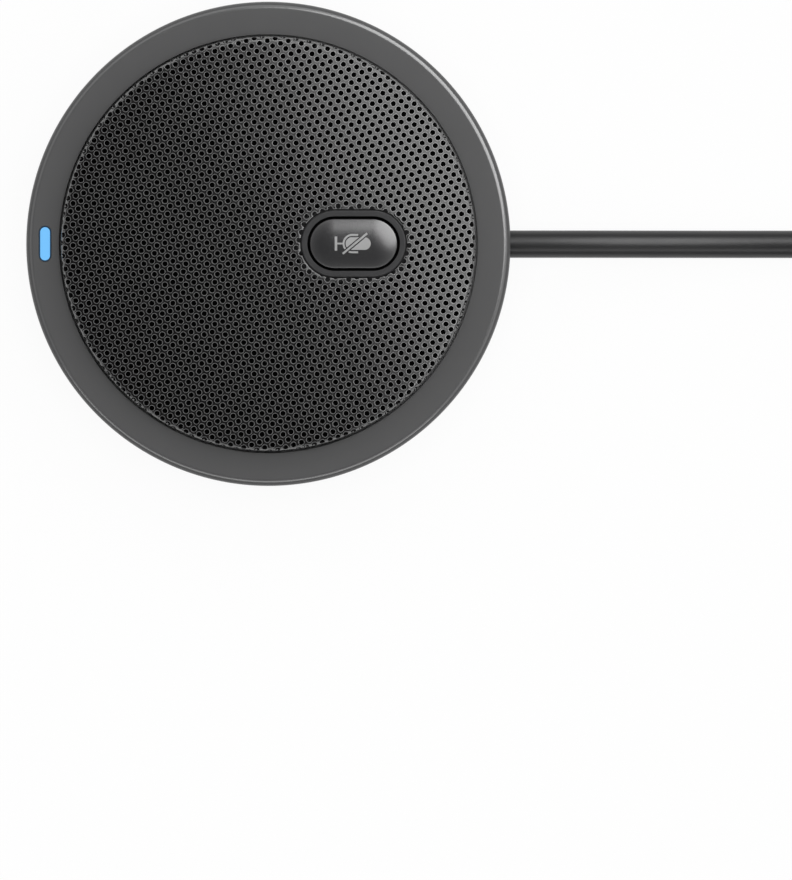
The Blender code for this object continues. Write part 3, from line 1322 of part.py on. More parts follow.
def make_plug():
    """A USB plug that lies on the coil: moulded grip with a ribbed relief, steel shell, and tongue."""
    place = bpy.data.objects.new("plug_place", None)
    place.location = (
        COIL_CENTRE[0] + PLUG_OFFSET[0],
        COIL_CENTRE[1] + PLUG_OFFSET[1],
        PLUG_HEIGHT,
    )
    place.rotation_euler = (math.pi / 2, 0.0, 0.0)
    bpy.context.scene.collection.objects.link(place)

    loops = []
    for i in range(2 * RELIEF_RIBS):
        share = i / (2 * RELIEF_RIBS)
        width = RELIEF_START_WIDTH + (RELIEF_END_WIDTH - RELIEF_START_WIDTH) * share
        thickness = RELIEF_START_THICKNESS + (RELIEF_END_THICKNESS - RELIEF_START_THICKNESS) * share
        groove = 2 * RELIEF_GROOVE * (i % 2)
        loops.append(oblong_loop(width - groove, thickness - groove, RELIEF_LENGTH * share))
    front = RELIEF_LENGTH + PLUG_BODY_LENGTH
    edge = 2 * PLUG_EDGE
    loops += [
        oblong_loop(RELIEF_END_WIDTH, RELIEF_END_THICKNESS - edge, RELIEF_LENGTH - PLUG_EDGE),
        oblong_loop(PLUG_WIDTH - edge, PLUG_THICKNESS - edge, RELIEF_LENGTH),
        oblong_loop(PLUG_WIDTH, PLUG_THICKNESS, RELIEF_LENGTH + PLUG_EDGE),
        oblong_loop(PLUG_WIDTH, PLUG_THICKNESS, front - PLUG_EDGE),
        oblong_loop(PLUG_WIDTH - edge, PLUG_THICKNESS - edge, front),
    ]
    body = piece("plug_body", stacked(loops), "plastic_black")
    body.parent = place
    pocket = bmesh.new()
    half_width = SHELL_WIDTH / 2 + SEAT_GAP
    half_thickness = SHELL_THICKNESS / 2 + SEAT_GAP
    shell_back = front - SHELL_SEAT_DEPTH + SEAT_GAP
    add_block(
        pocket,
        (-half_width, -half_thickness, front - SHELL_SEAT_DEPTH),
        (half_width, half_thickness, front + CUT_OVERRUN),
    )
    shaped_by(body, pocket, "DIFFERENCE")

    shell_front = shell_back + SHELL_LENGTH
    outside = rectangle(SHELL_WIDTH, SHELL_THICKNESS)
    inside = rectangle(SHELL_WIDTH - 2 * SHELL_SHEET, SHELL_THICKNESS - 2 * SHELL_SHEET)
    loops = [
        [(x, y, shell_back) for x, y in outside],
        [(x, y, shell_front) for x, y in outside],
        [(x, y, shell_front) for x, y in inside],
        [(x, y, shell_back) for x, y in inside],
    ]
    shell = piece("plug_shell", stacked(loops, closed=True), "steel")
    shell.parent = place
    windows = bmesh.new()
    window_middle = (front + shell_front) / 2
    for side in (-1, 1):
        x = side * SHELL_WINDOW_SPREAD
        half = SHELL_WINDOW / 2
        add_block(
            windows,
            (x - half, -SHELL_THICKNESS, window_middle - half),
            (x + half, SHELL_THICKNESS, window_middle + half),
        )
    shaped_by(shell, windows, "DIFFERENCE")

    half_width = SHELL_WIDTH / 2 - SHELL_SHEET - TONGUE_GAP
    half_thickness = SHELL_THICKNESS / 2 - SHELL_SHEET - TONGUE_GAP
    tongue_base_front = shell_back + TONGUE_BASE
    outline = [
        (-half_thickness, shell_back),
        (half_thickness, shell_back),
        (half_thickness, shell_front - TONGUE_RECESS),
        (half_thickness - TONGUE_THICKNESS, shell_front - TONGUE_RECESS),
        (half_thickness - TONGUE_THICKNESS, tongue_base_front),
        (-half_thickness, tongue_base_front),
    ]
    loops = [[(x, y, z) for y, z in outline] for x in (-half_width, half_width)]
    tongue = piece("plug_tongue", stacked(loops), "plug_tongue_black")
    tongue.parent = place


def rectangle(width, height):
    """The corners of a rectangle about its middle."""
    x, y = width / 2, height / 2
    return [(x, -y), (x, y), (-x, y), (-x, -y)]


def main():
    """Clears the scene and makes every piece."""
    for old in list(bpy.data.objects):
        bpy.data.objects.remove(old, do_unlink=True)
    make_housing()
    make_foot_ring()
    make_base_cover()
    make_base_screws()
    make_weight_plate()
    make_grille()
    make_inner_frame()
    make_foam_liner()
    make_button_bezel()
    make_mute_button()
    make_switch()
    make_capsule()
    make_main_board()
    make_board_screws()
    make_board_parts()
    make_light_pipe()
    make_cord_anchor()
    make_cord_clamp()
    make_wires()
    make_cord()
    make_ties()
    make_plug()


main()
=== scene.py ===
# %% [markdown]
# # A conference microphone
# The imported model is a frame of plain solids. This lesson puts the finished surfaces round it: a
# perforated grille, an oval mute button with its pictogram, a lit window, a rubber foot and a cord
# that is wound up for storage. Lengths are in metres and +Z is up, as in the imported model.

# %% Load the frame
import math

import bmesh
import bpy
import numpy as np
from mathutils import Matrix, Vector
from mathutils.kdtree import KDTree


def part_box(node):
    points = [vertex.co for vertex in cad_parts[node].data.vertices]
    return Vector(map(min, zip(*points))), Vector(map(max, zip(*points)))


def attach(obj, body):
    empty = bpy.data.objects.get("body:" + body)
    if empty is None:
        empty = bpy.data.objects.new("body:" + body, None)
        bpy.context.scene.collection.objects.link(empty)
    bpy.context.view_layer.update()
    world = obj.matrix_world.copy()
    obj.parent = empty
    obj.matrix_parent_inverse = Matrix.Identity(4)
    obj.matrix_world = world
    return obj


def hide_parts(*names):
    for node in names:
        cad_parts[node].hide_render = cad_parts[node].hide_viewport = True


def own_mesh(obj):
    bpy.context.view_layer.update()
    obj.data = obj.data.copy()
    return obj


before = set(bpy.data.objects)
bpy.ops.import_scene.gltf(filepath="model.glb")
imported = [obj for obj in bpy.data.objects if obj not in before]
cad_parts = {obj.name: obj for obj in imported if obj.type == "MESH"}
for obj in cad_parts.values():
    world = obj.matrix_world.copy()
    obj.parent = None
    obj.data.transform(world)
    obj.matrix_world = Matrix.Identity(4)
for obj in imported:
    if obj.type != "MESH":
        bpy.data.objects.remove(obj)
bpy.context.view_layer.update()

# %% [markdown]
# ## Measures
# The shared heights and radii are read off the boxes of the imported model's nodes. Sizes that a box
# can't give, such as the radius of a rounded edge, are written out. The grille is drawn a little
# slimmer than its solid, so that the dark groove round it is as wide as in the photograph.

# %% Read the shared sizes
MM = 0.001
ring_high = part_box("housing")[1]
grille_low, grille_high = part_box("grille")
button_low, button_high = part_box("mute_button")
BODY_RADIUS, RING_TOP = ring_high.x, ring_high.z
GROOVE_ROOM = 0.20 * MM
GRILLE_RADIUS = grille_high.x - GROOVE_ROOM
GRILLE_TOP, GRILLE_LOW = grille_high.z, grille_low.z
BUTTON_X = (button_low.x + button_high.x) / 2
print(f"Body {2000 * BODY_RADIUS:.1f} mm across, grille top at {1000 * GRILLE_TOP:.2f} mm")

# %% [markdown]
# ## The camera
# The photograph looks straight down from far away, so upright walls hardly show. A long lens does
# that. Its distance follows from the lens: the picture's long side is to show 159.84 mm.

# %% Place the camera
PICTURE_HEIGHT = 159.84 * MM
PICTURE_MIDDLE = (23.19 * MM, -35.64 * MM)
LENS, SENSOR = 1000.0, 36.0


def in_scene(name, data):
    """A new object with the data given, put in the scene."""
    thing = bpy.data.objects.new(name, data)
    bpy.context.scene.collection.objects.link(thing)
    return thing


camera_data = bpy.data.cameras.new("studio_camera")
camera_data.lens = LENS
camera_data.sensor_width = SENSOR
camera_data.clip_end = 20.0
camera = in_scene("studio_camera", camera_data)
camera.location = (*PICTURE_MIDDLE, RING_TOP + PICTURE_HEIGHT * LENS / SENSOR)
bpy.context.scene.camera = camera
print(f"The camera hangs {camera.location.z:.2f} m above the table")

# %% [markdown]
# ## Finishes
# Real surfaces are never one flat colour. So the helper that makes a finish from a colour and a
# roughness adds slow clouds in the colour, clouds in the gloss, and a fine grain as a bump. The
# grain's size is in metres, so it keeps its scale on every piece. Smaller helpers add a node and
# fill in its inputs with plain values or links.


# %% Helpers that add and fill in nodes
def feed(tree, node, inputs):
    """Fills in a node's inputs by name or number: a socket is linked, anything else is a value."""
    for key, value in inputs.items():
        if isinstance(value, bpy.types.NodeSocket):
            tree.links.new(value, node.inputs[key])
        else:
            node.inputs[key].default_value = value
    return node


def added(tree, kind, inputs, operation=None):
    """A new node of some kind, with its inputs filled in."""
    node = tree.nodes.new(kind)
    if operation:
        node.operation = operation
    return feed(tree, node, inputs)


def new_material(name):
    """A new material with its node tree and its Principled shader."""
    material = bpy.data.materials.new(name)
    material.use_nodes = True
    return material, material.node_tree, material.node_tree.nodes["Principled BSDF"]


# %% A helper that makes a finish
def new_finish(
    name, colour, roughness, metallic=0.0, gloss=0.5,
    clouds=0.08, cloud_size=3 * MM, uneven=0.05, grain=0.0, grain_size=0.2 * MM,
):
    """A Principled material with cloudy colour, uneven gloss and a grain of the height given."""
    finish, tree, shader = new_material(name)
    place = tree.nodes.new("ShaderNodeTexCoord").outputs["Object"]

    def noise(size, detail):
        inputs = {"Vector": place, "Scale": 1 / size, "Detail": detail}
        return added(tree, "ShaderNodeTexNoise", inputs).outputs["Fac"]

    cloud = noise(cloud_size, 4.0)
    tint = tree.nodes.new("ShaderNodeMix")
    tint.data_type = "RGBA"
    dark, pale = [(*[min(c * k, 1.0) for c in colour], 1.0) for k in (1 - clouds, 1 + clouds)]
    feed(tree, tint, {"Factor": cloud, "A": dark, "B": pale})
    smooth, rough = max(roughness - uneven, 0.02), min(roughness + uneven, 1.0)
    polish_inputs = {"Value": cloud, "To Min": smooth, "To Max": rough}
    polish = added(tree, "ShaderNodeMapRange", polish_inputs)
    looks = {"Metallic": metallic, "Specular IOR Level": gloss}
    looks |= {"Base Color": tint.outputs["Result"], "Roughness": polish.outputs["Result"]}
    if grain:
        bump = added(tree, "ShaderNodeBump", {"Height": noise(grain_size, 2.0), "Distance": grain})
        looks["Normal"] = bump.outputs["Normal"]
    feed(tree, shader, looks)
    return finish


# %% [markdown]
# ## Making meshes
# Most pieces here are turned or drawn out along an axis, so a handful of helpers makes them all:
# an outline with eased corners, a lathe, a skin over a row of outlines, and a cut or join with
# another shape. Every piece is a closed mesh, so it has an inside and an outside.


# %% Helpers for outlines
def arc(middle, radius, start, end, steps):
    """Points round part of a circle, from one angle to another, in radians."""
    angles = [start + (end - start) * i / steps for i in range(steps + 1)]
    return [(middle[0] + radius * math.cos(a), middle[1] + radius * math.sin(a)) for a in angles]


def in_metres(corners):
    """A list of corners in millimetres, as metres."""
    return [tuple(value * MM for value in corner) for corner in corners]


def eased(corners, steps=4):
    """A closed outline of (x, y, radius) corners, each rounded by its own radius."""
    points = []
    for i, (x, y, radius) in enumerate(corners):
        here = Vector((x, y))
        back = (Vector(corners[i - 1][:2]) - here).normalized()
        on = (Vector(corners[(i + 1) % len(corners)][:2]) - here).normalized()
        if not radius:
            points.append((x, y))
            continue
        half = back.angle(on) / 2
        middle = here + (back + on).normalized() * (radius / math.sin(half))
        first = here + back * (radius / math.tan(half)) - middle
        last = here + on * (radius / math.tan(half)) - middle
        sweep = first.angle_signed(last)
        for k in range(steps + 1):
            turned = first.copy()
            turned.rotate(Matrix.Rotation(-sweep * k / steps, 2))
            points.append(tuple(middle + turned))
    return points


def oval(length, width, steps=24):
    """Points round an outline with straight sides along X and half-round ends."""
    reach = (length - width) / 2
    right = arc((reach, 0.0), width / 2, -math.pi / 2, math.pi / 2, steps)
    left = arc((-reach, 0.0), width / 2, math.pi / 2, 3 * math.pi / 2, steps)
    return right + left


def raised(outline, height):
    """The same outline as points in space, at one height."""
    return [(x, y, height) for x, y in outline]


def at_button(outline):
    """The same outline, moved from the origin to the button."""
    return [(BUTTON_X + x, y) for x, y in outline]


# %% Helpers for shapes
def lathed(outline, sides):
    """A closed outline of (radius, height) points, turned about the Z axis."""
    shape = bmesh.new()
    loop = [shape.verts.new((radius, 0.0, height)) for radius, height in outline]
    pairs = zip(loop, loop[1:] + loop[:1])
    edges = [shape.edges.new((a, b)) for a, b in pairs if a.co.x > 0 or b.co.x > 0]
    bmesh.ops.spin(
        shape, geom=loop + edges, cent=(0, 0, 0), axis=(0, 0, 1), angle=2 * math.pi, steps=sides
    )
    bmesh.ops.remove_doubles(shape, verts=shape.verts, dist=1e-6)
    return shape


def skinned(loops, closed=False):
    """A skin over loops of points, with flat ends, or running back to its first loop."""
    shape = bmesh.new()
    rings = [[shape.verts.new(point) for point in loop] for loop in loops]
    if not closed:
        shape.faces.new(rings[0])
        shape.faces.new(rings[-1])
    for ring, following in zip(rings, rings[1:] + rings[:1] if closed else rings[1:]):
        for i, corner in enumerate(ring):
            shape.faces.new((ring[i - 1], corner, following[i], following[i - 1]))
    return shape


def bar(outline, bottom, top):
    """An upright bar with the outline of (x, y) points given."""
    return skinned([raised(outline, bottom), raised(outline, top)])


def add_box(shape, middle, size, turn=Matrix()):
    """Adds a box with its middle and its size along X, Y and Z, turned about the origin."""
    place = turn @ Matrix.Translation(middle) @ Matrix.Diagonal((*size, 1.0))
    bmesh.ops.create_cube(shape, size=1.0, matrix=place)
    return shape


# %% Helpers that put a shape in the scene
def made(name, shape, finish, stands_for=None, body="body", sharp=35):
    """A piece from a shape. It may stand for a node of the model, and rides on a body."""
    bmesh.ops.recalc_face_normals(shape, faces=shape.faces)
    mesh = bpy.data.meshes.new(name)
    shape.to_mesh(mesh)
    shape.free()
    mesh.materials.append(finish)
    mesh.shade_smooth()
    mesh.set_sharp_from_angle(angle=math.radians(sharp))
    piece = in_scene(name, mesh)
    if body:
        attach(piece, body)
    if stands_for:
        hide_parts(stands_for)
    return piece


def cut(piece, shape, way="DIFFERENCE", sharp=35):
    """Cuts a shape out of a piece, joins it on or keeps what both share, and keeps the result."""
    tool = made("tool", shape, piece.data.materials[0], body=None)
    for finish in list(piece.data.materials)[1:]:
        tool.data.materials.append(finish)
    step = piece.modifiers.new(way.title(), "BOOLEAN")
    step.operation, step.solver, step.object = way, "MANIFOLD", tool
    graph = bpy.context.evaluated_depsgraph_get()
    result = bpy.data.meshes.new_from_object(piece.evaluated_get(graph))
    piece.modifiers.clear()
    piece.data = result
    bpy.data.objects.remove(tool)
    result.shade_smooth()
    result.set_sharp_from_angle(angle=math.radians(sharp))
    return piece


def level_flats(piece):
    """Shades big flat faces as flat, and leaves all the turning to the small faces beside them."""
    weighted = piece.modifiers.new("Level flats", "WEIGHTED_NORMAL")
    weighted.keep_sharp = True


def refinish(piece, finish, chosen):
    """Gives the faces of a piece that a test picks another finish."""
    piece.data.materials.append(finish)
    faces = [face for face in piece.data.polygons if chosen(face)]
    for face in faces:
        face.material_index = len(piece.data.materials) - 1
    print(f"{piece.name}: {len(faces)} of {len(piece.data.polygons)} faces in {finish.name}")


# %% [markdown]
# ## The cord
# The cord is 1.8 m of black lead, 5 mm thick. It leaves the wall straight, sinks to the table, and
# is wound up for storage in a flat coil of nine turns on two layers. The best way to draw a lead
# is a curve with a round bevel: it keeps one length and one thickness however it bends. The points
# below are its route, and a cubic spline runs through them, because a springy lead bends evenly.

# %% Write the cord's route
CORD_DIAMETER = 5 * MM
COIL_CENTRE = Vector((156.5, -3.4, 0.0)) * MM
COIL_TURNS = 9
COIL_PITCH = 5.5 * MM
COIL_MEAN_DIAMETER = 57.78 * MM
COIL_INNER_RADIUS = COIL_MEAN_DIAMETER / 2 - COIL_PITCH * COIL_TURNS / 4
COIL_LIFT = 1.1 * MM
COIL_START = math.radians(150)
STEPS_A_TURN = 24
RUN_ROUTE = (
    (41.8, 0.0, 6.6), (46.8, 0.0, 6.6), (53.0, 0.0, 6.5), (59.5, 0.0, 6.0), (67.0, 0.0, 4.9),
    (76.0, 0.0, 3.55), (85.0, 0.0, 2.72), (93.0, 0.0, 2.56), (98.5, 0.1, 2.58),
    (103.2, 0.8, 2.68), (108.5, 3.0, 3.0),
)
TAIL_ROUTE = (
    (-22.5, 35.7, 9.35), (-11.5, 40.9, 10.1), (0.0, 42.9, 11.35), (10.0, 42.4, 12.65),
    (18.2, 39.2, 14.0), (24.2, 33.5, 15.25),
)
PLUG_PLACE = COIL_CENTRE + Vector((28.0, 20.0, 15.8)) * MM


def coil_point(turn):
    """The cord's middle after so many turns: in on the lower layer, up, and out on the upper."""
    angle = COIL_START - 2 * math.pi * turn
    radius = COIL_INNER_RADIUS + COIL_PITCH * abs(turn - COIL_TURNS / 2)
    climb = min(max(2 * (turn - COIL_TURNS / 2) + 0.5, 0.0), 1.0)
    height = COIL_LIFT + CORD_DIAMETER / 2 + COIL_PITCH * climb * climb * (3 - 2 * climb)
    return COIL_CENTRE + Vector((radius * math.cos(angle), radius * math.sin(angle), height))


coil = [coil_point(i / STEPS_A_TURN) for i in range(STEPS_A_TURN * COIL_TURNS + 1)]
route = [Vector(point) * MM for point in RUN_ROUTE] + coil
route += [COIL_CENTRE + Vector(point) * MM for point in TAIL_ROUTE]
route += [PLUG_PLACE + Vector((0.0, gap, 0.0)) for gap in (CORD_DIAMETER, 0.3 * MM)]
print("The cord's route has", len(route), "points")

# %% [markdown]
# The spline is solved with numpy: at every point of the route the slope and the bend have to match
# on both sides, which gives one set of linear equations. Points about two millimetres apart are
# then read off it, close enough for the bevel to look round in the tightest turn.


# %% Run a smooth line through the route
def smooth_line(points, spacing):
    """Points about that far apart on a cubic spline through the points given."""
    points = np.array([tuple(point) for point in points])
    along = np.concatenate([[0.0], np.cumsum(np.linalg.norm(np.diff(points, axis=0), axis=1))])
    gaps, count = np.diff(along), len(points)
    slopes = np.diff(points, axis=0) / gaps[:, None]
    matrix, right = np.eye(count), np.zeros((count, 3))
    for i in range(1, count - 1):
        matrix[i, i - 1 : i + 2] = gaps[i - 1], 2 * (gaps[i - 1] + gaps[i]), gaps[i]
        right[i] = 6 * (slopes[i] - slopes[i - 1])
    bends = np.linalg.solve(matrix, right)
    at = np.linspace(0.0, along[-1], math.ceil(along[-1] / spacing) + 1)
    leg = np.clip(np.searchsorted(along, at, side="right") - 1, 0, count - 2)
    far, near, gap = (at - along[leg])[:, None], (along[leg + 1] - at)[:, None], gaps[leg][:, None]
    return (
        (bends[leg] * near**3 + bends[leg + 1] * far**3) / (6 * gap)
        + (points[leg] / gap - bends[leg] * gap / 6) * near
        + (points[leg + 1] / gap - bends[leg + 1] * gap / 6) * far
    )


cord_line = smooth_line(route, 2 * MM)
cord_length = np.linalg.norm(np.diff(cord_line, axis=0), axis=1).sum()
print(f"The cord is {cord_length:.3f} m long on {len(cord_line)} points")

# %% Draw the cord
cord_sheath = new_finish(
    "cord_sheath", (0.016, 0.016, 0.0165), 0.36,
    gloss=0.4, clouds=0.06, grain=0.01 * MM, grain_size=0.3 * MM,
)
cord_curve = bpy.data.curves.new("cord", "CURVE")
cord_curve.dimensions = "3D"
cord_curve.bevel_depth = CORD_DIAMETER / 2
cord_curve.bevel_resolution = 6
cord_curve.use_fill_caps = True
knots = cord_curve.splines.new("POLY")
knots.points.add(len(cord_line) - 1)
knots.points.foreach_set("co", np.c_[cord_line, np.ones(len(cord_line))].ravel())
knots.use_smooth = True
cord_curve.materials.append(cord_sheath)
cord = in_scene("cord", cord_curve)
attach(cord, "body")
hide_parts("cord_run", "cord_coil", "cord_tail")
print("The cord is one open line of", len(knots.points), "points")

# %% [markdown]
# ## The perforated grille
# The real grille is punched from a flat sheet and then drawn into a shallow cup, so its pattern of
# holes runs on over the rolled edge and down the side. The same order works in mesh code: lay out
# the flat sheet as a honeycomb of cells with one hole each, then bend it into the cup by its arc
# length. Boolean cuts would need some 3100 tools and leave long thin faces that shade badly.
#
# The rows lean at 45 degrees, each is shifted by half a step, and the step from hole to hole
# equals the step from row to row.

# %% Describe the sheet and its holes
SHEET = 0.6 * MM
ROLL_RADIUS = 0.9 * MM
FLAT_RADIUS = GRILLE_RADIUS - ROLL_RADIUS
ROLL_LENGTH = ROLL_RADIUS * math.pi / 2
HOLE_RADIUS, HOLE_SIDES = 0.485 * MM, 12
RIM_RADIUS, RIM_DEPTH = 0.58 * MM, 0.02 * MM
LIP_LEAN = math.radians(4)
FIRST_HOLE = np.array((0.310, 0.145)) * MM
STEP_A = np.array((1.4289, 0.4763)) * MM
STEP_B = np.array((0.4763, 1.4289)) * MM
print(f"The sheet is flat for {1000 * FLAT_RADIUS:.2f} mm from the axis, and rolls over from there")


def bend_at(places):
    """How far flat places are from the axis, which way, and how far the sheet turns there."""
    far = np.hypot(places[:, 0], places[:, 1])
    way = places / np.maximum(far, 1e-9)[:, None]
    return far, way, np.clip((far - FLAT_RADIUS) / ROLL_RADIUS, 0.0, math.pi / 2)


def bent(places, depth):
    """Flat places on the sheet, bent over the cup's edge, at a depth under the outer surface."""
    far, way, turn = bend_at(places)
    radius = np.minimum(far, FLAT_RADIUS) + (ROLL_RADIUS - depth) * np.sin(turn)
    height = GRILLE_TOP - ROLL_RADIUS + (ROLL_RADIUS - depth) * np.cos(turn)
    height -= np.maximum(far - FLAT_RADIUS - ROLL_LENGTH, 0.0)
    return np.c_[way * radius[:, None], height]


def bent_ways(places, flat_ways):
    """Directions at flat places on the sheet, turned with the sheet as it is bent."""
    _, way, turn = bend_at(places)
    outwards = (flat_ways[:, :2] * way).sum(1)
    around = flat_ways[:, 1] * way[:, 0] - flat_ways[:, 0] * way[:, 1]
    level = outwards * np.cos(turn) + flat_ways[:, 2] * np.sin(turn)
    height = flat_ways[:, 2] * np.cos(turn) - outwards * np.sin(turn)
    return np.c_[
        way[:, 0] * level - way[:, 1] * around, way[:, 1] * level + way[:, 0] * around, height
    ]


# %% Find the corners of one honeycomb cell
def equally_far(p, q):
    """The point equally far from the origin, p and q."""
    return np.linalg.solve(np.array([p, q]), np.array([p @ p, q @ q]) / 2)


CORNER_U = equally_far(STEP_A, STEP_B)
CORNER_V = equally_far(STEP_B, STEP_B - STEP_A)
# Each corner as (steps along A, steps along B, which kind of corner), in order round the cell.
CELL_CORNERS = ((0, 0, 0), (0, 0, 1), (-1, 0, 0), (0, -1, 1), (0, -1, 0), (1, -1, 1))
corner_places = [
    i * STEP_A + j * STEP_B + (CORNER_U, CORNER_V)[kind] for i, j, kind in CELL_CORNERS
]
print("Cell corners (mm):", np.round(np.array(corner_places) * 1000, 3).tolist())

# %% [markdown]
# A cell has six corners that it shares with its neighbours, and its hole has twelve. Going round
# the cell by angle, faces are laid between the two rings. Four sets of faces close the sheet: the
# web on top, the eased rim of the hole, the wall down through the sheet, and the same web
# underneath. Each corner on top also gets the direction that it should shade by: straight out on
# the web, and a few degrees into the hole at the inner end of the rim. So a few faces look like a
# smooth edge.


# %% Lay out the cells of the sheet
def ring_faces(outer, inner, outer_angles, inner_angles):
    """Faces between two closed rings of corners, laid in the order of their angles."""
    faces, i, j = [], 0, 0
    while i < len(outer) or j < len(inner):
        a, b = outer[i % len(outer)], inner[j % len(inner)]
        next_outer = outer_angles[i + 1] if i < len(outer) else math.inf
        next_inner = inner_angles[j + 1] if j < len(inner) else math.inf
        if next_outer <= next_inner:
            i += 1
            faces.append((a, outer[i % len(outer)], b))
        else:
            j += 1
            faces.append((a, inner[j % len(inner)], b))
    return faces


def sheet_of_cells(cells):
    """A closed, bent sheet made of the cells given, as a shape."""
    points, corners, faces, rims, edges = [], {}, [], [], {}
    depths, leans = [], []
    hexagon = np.array(corner_places)
    hexagon_angles = np.unwrap(np.arctan2(hexagon[:, 1], hexagon[:, 0]))
    start = hexagon_angles[0]
    # The hole's corners start a quarter step on, so the first of them doesn't tie with the cell's.
    steps = start + 2 * math.pi * (np.arange(HOLE_SIDES) + 0.25) / HOLE_SIDES
    circle = np.c_[np.cos(steps), np.sin(steps)]
    outer_angles = [*hexagon_angles, start + 2 * math.pi]
    inner_angles = [*steps, steps[0] + 2 * math.pi]

    def add(places, depth, lean=0.0):
        first = len(points)
        points.extend(places)
        depths.extend([depth] * len(places))
        inwards = [(-x * math.sin(lean), -y * math.sin(lean), math.cos(lean)) for x, y in circle]
        leans.extend(inwards if lean else [(0.0, 0.0, 1.0)] * len(places))
        return list(range(first, first + len(places)))

    for i, j in cells:
        middle = FIRST_HOLE + i * STEP_A + j * STEP_B
        keys = [(i + di, j + dj, kind) for di, dj, kind in CELL_CORNERS]
        for key, place in zip(keys, middle + hexagon):
            if key not in corners:
                corners[key] = add([place], 0.0)[0], add([place], SHEET)[0]
        top = [corners[key][0] for key in keys]
        low = [corners[key][1] for key in keys]
        rim = add(middle + circle * RIM_RADIUS, 0.0)
        lip = add(middle + circle * HOLE_RADIUS, RIM_DEPTH, LIP_LEAN)
        foot = add(middle + circle * HOLE_RADIUS, SHEET)
        faces += ring_faces(top, rim, outer_angles, inner_angles)
        faces += [face[::-1] for face in ring_faces(low, foot, outer_angles, inner_angles)]
        for ring, inside, edge_faces in ((rim, lip, rims), (lip, foot, faces)):
            for k in range(HOLE_SIDES):
                n = (k + 1) % HOLE_SIDES
                edge_faces.append((ring[k], ring[n], inside[n], inside[k]))
        for k in range(6):
            ends = top[k], top[(k + 1) % 6], low[(k + 1) % 6], low[k]
            edge = tuple(sorted(ends[:2]))
            edges[edge] = None if edge in edges else ends
    faces += [ends[::-1] for ends in edges.values() if ends]
    places, depths = np.array(points), np.array(depths)
    upright = bent_ways(places, np.tile((0.0, 0.0, 1.0), (len(places), 1)))
    leaning = bent_ways(places, np.array(leans))
    return bent(places, depths), faces, rims, (upright, leaning)


# %% [markdown]
# The rims of the holes have a finish of their own, paler than the paint: a painted highlight that
# stands in for the thin bright ring that light draws round each hole. The outside of the roll has
# the same painted highlight. A third finish is for the chamfer round the button's opening. The
# corners are then told which way to shade: the cut leaves corners that no list knows, so each
# corner is looked up by its place.

# %% Helpers that make the grille's pieces
# Slot 1 is the painted highlight on the rims of the holes and on the outside of the roll; slot 2 is
# the bare chamfer.
HIGHLIGHT_SLOT, BARE_SLOT = 1, 2
ROLL_START = 0.45 * MM
ROLL_SKIN = 0.10 * MM


def sheet_piece(name, cells):
    """A piece of the grille, its corners' places, and the directions that they should shade by."""
    places, faces, rims, shading = sheet_of_cells(cells)
    shape = bmesh.new()
    corners = [shape.verts.new(place) for place in places]
    for face in faces:
        web = shape.faces.new([corners[k] for k in face])
        middle = web.calc_center_median()
        out, up = middle.xy.length - FLAT_RADIUS, middle.z - (GRILLE_TOP - ROLL_RADIUS)
        # Faces on the outside of the roll take the painted highlight too.
        on_roll = out > ROLL_START and up > -ROLL_SKIN
        if on_roll and math.hypot(out, up) > ROLL_RADIUS - ROLL_SKIN:
            web.material_index = HIGHLIGHT_SLOT
    # Every rim of a hole takes the painted highlight.
    for face in rims:
        shape.faces.new([corners[k] for k in face]).material_index = HIGHLIGHT_SLOT
    piece = made(name, shape, grille_paint, "grille", sharp=75)
    piece.data.materials.append(painted_rim_highlight)
    piece.data.materials.append(bare_edge)
    return piece, (places, *shading)


def shade_rims(piece, known):
    """Makes the sheet's outside shade by the directions that were worked out for its corners."""
    places, upright, leaning = known
    tree = KDTree(len(places))
    for k, place in enumerate(places):
        tree.insert(place, k)
    tree.balance()
    mesh = piece.data
    found = [tree.find(corner.co) for corner in mesh.vertices]
    nearest = np.array([k for _, k, _ in found])
    strayed = np.array([gap for _, _, gap in found]) > 1e-6
    flat = np.empty(len(mesh.polygons) * 3)
    mesh.polygons.foreach_get("normal", flat)
    sizes, slots = np.empty(len(mesh.polygons), int), np.empty(len(mesh.polygons), int)
    mesh.polygons.foreach_get("loop_total", sizes)
    mesh.polygons.foreach_get("material_index", slots)
    corners = np.empty(len(mesh.loops), int)
    mesh.loops.foreach_get("vertex_index", corners)
    on_rim = np.repeat(slots == HIGHLIGHT_SLOT, sizes)[:, None]
    facing = np.where(on_rim, leaning[nearest[corners]], upright[nearest[corners]])
    own = np.repeat(flat.reshape(-1, 3), sizes, axis=0)
    # Corners that a cut has made, and faces that look another way, keep the shading they have.
    facing[strayed[corners] | ((facing * own).sum(1) < 0.5)] = 0.0
    mesh.normals_split_custom_set(facing.tolist())


# %% [markdown]
# The sheet is split in two pieces along the borders of its cells: the flat face, and the rolled
# edge with the side band. Each stays light enough to export whole. Cells that would lie wholly
# inside the opening for the button's frame are left out, and the rest of the opening is cut.

# %% Share out the cells
FACE_REACH = FLAT_RADIUS - 1.1 * MM
LAST_HOLES = 14.3 * MM
BAND_REACH = FLAT_RADIUS + ROLL_LENGTH + (GRILLE_TOP - ROLL_RADIUS - LAST_HOLES)
NECK_LENGTH, NECK_WIDTH = 19.06 * MM, 12.16 * MM
NECK_MARGIN = 1.2 * MM
span = range(-45, 46)


def hole_place(cell):
    """The middle of a cell's hole on the flat sheet."""
    return FIRST_HOLE + cell[0] * STEP_A + cell[1] * STEP_B


def in_opening(cell):
    """Whether a cell lies wholly inside the opening for the button's frame."""
    x, y = hole_place(cell)
    reach = (NECK_LENGTH - NECK_WIDTH) / 2
    x -= BUTTON_X + min(max(x - BUTTON_X, -reach), reach)
    return math.hypot(x, y) < NECK_WIDTH / 2 - NECK_MARGIN


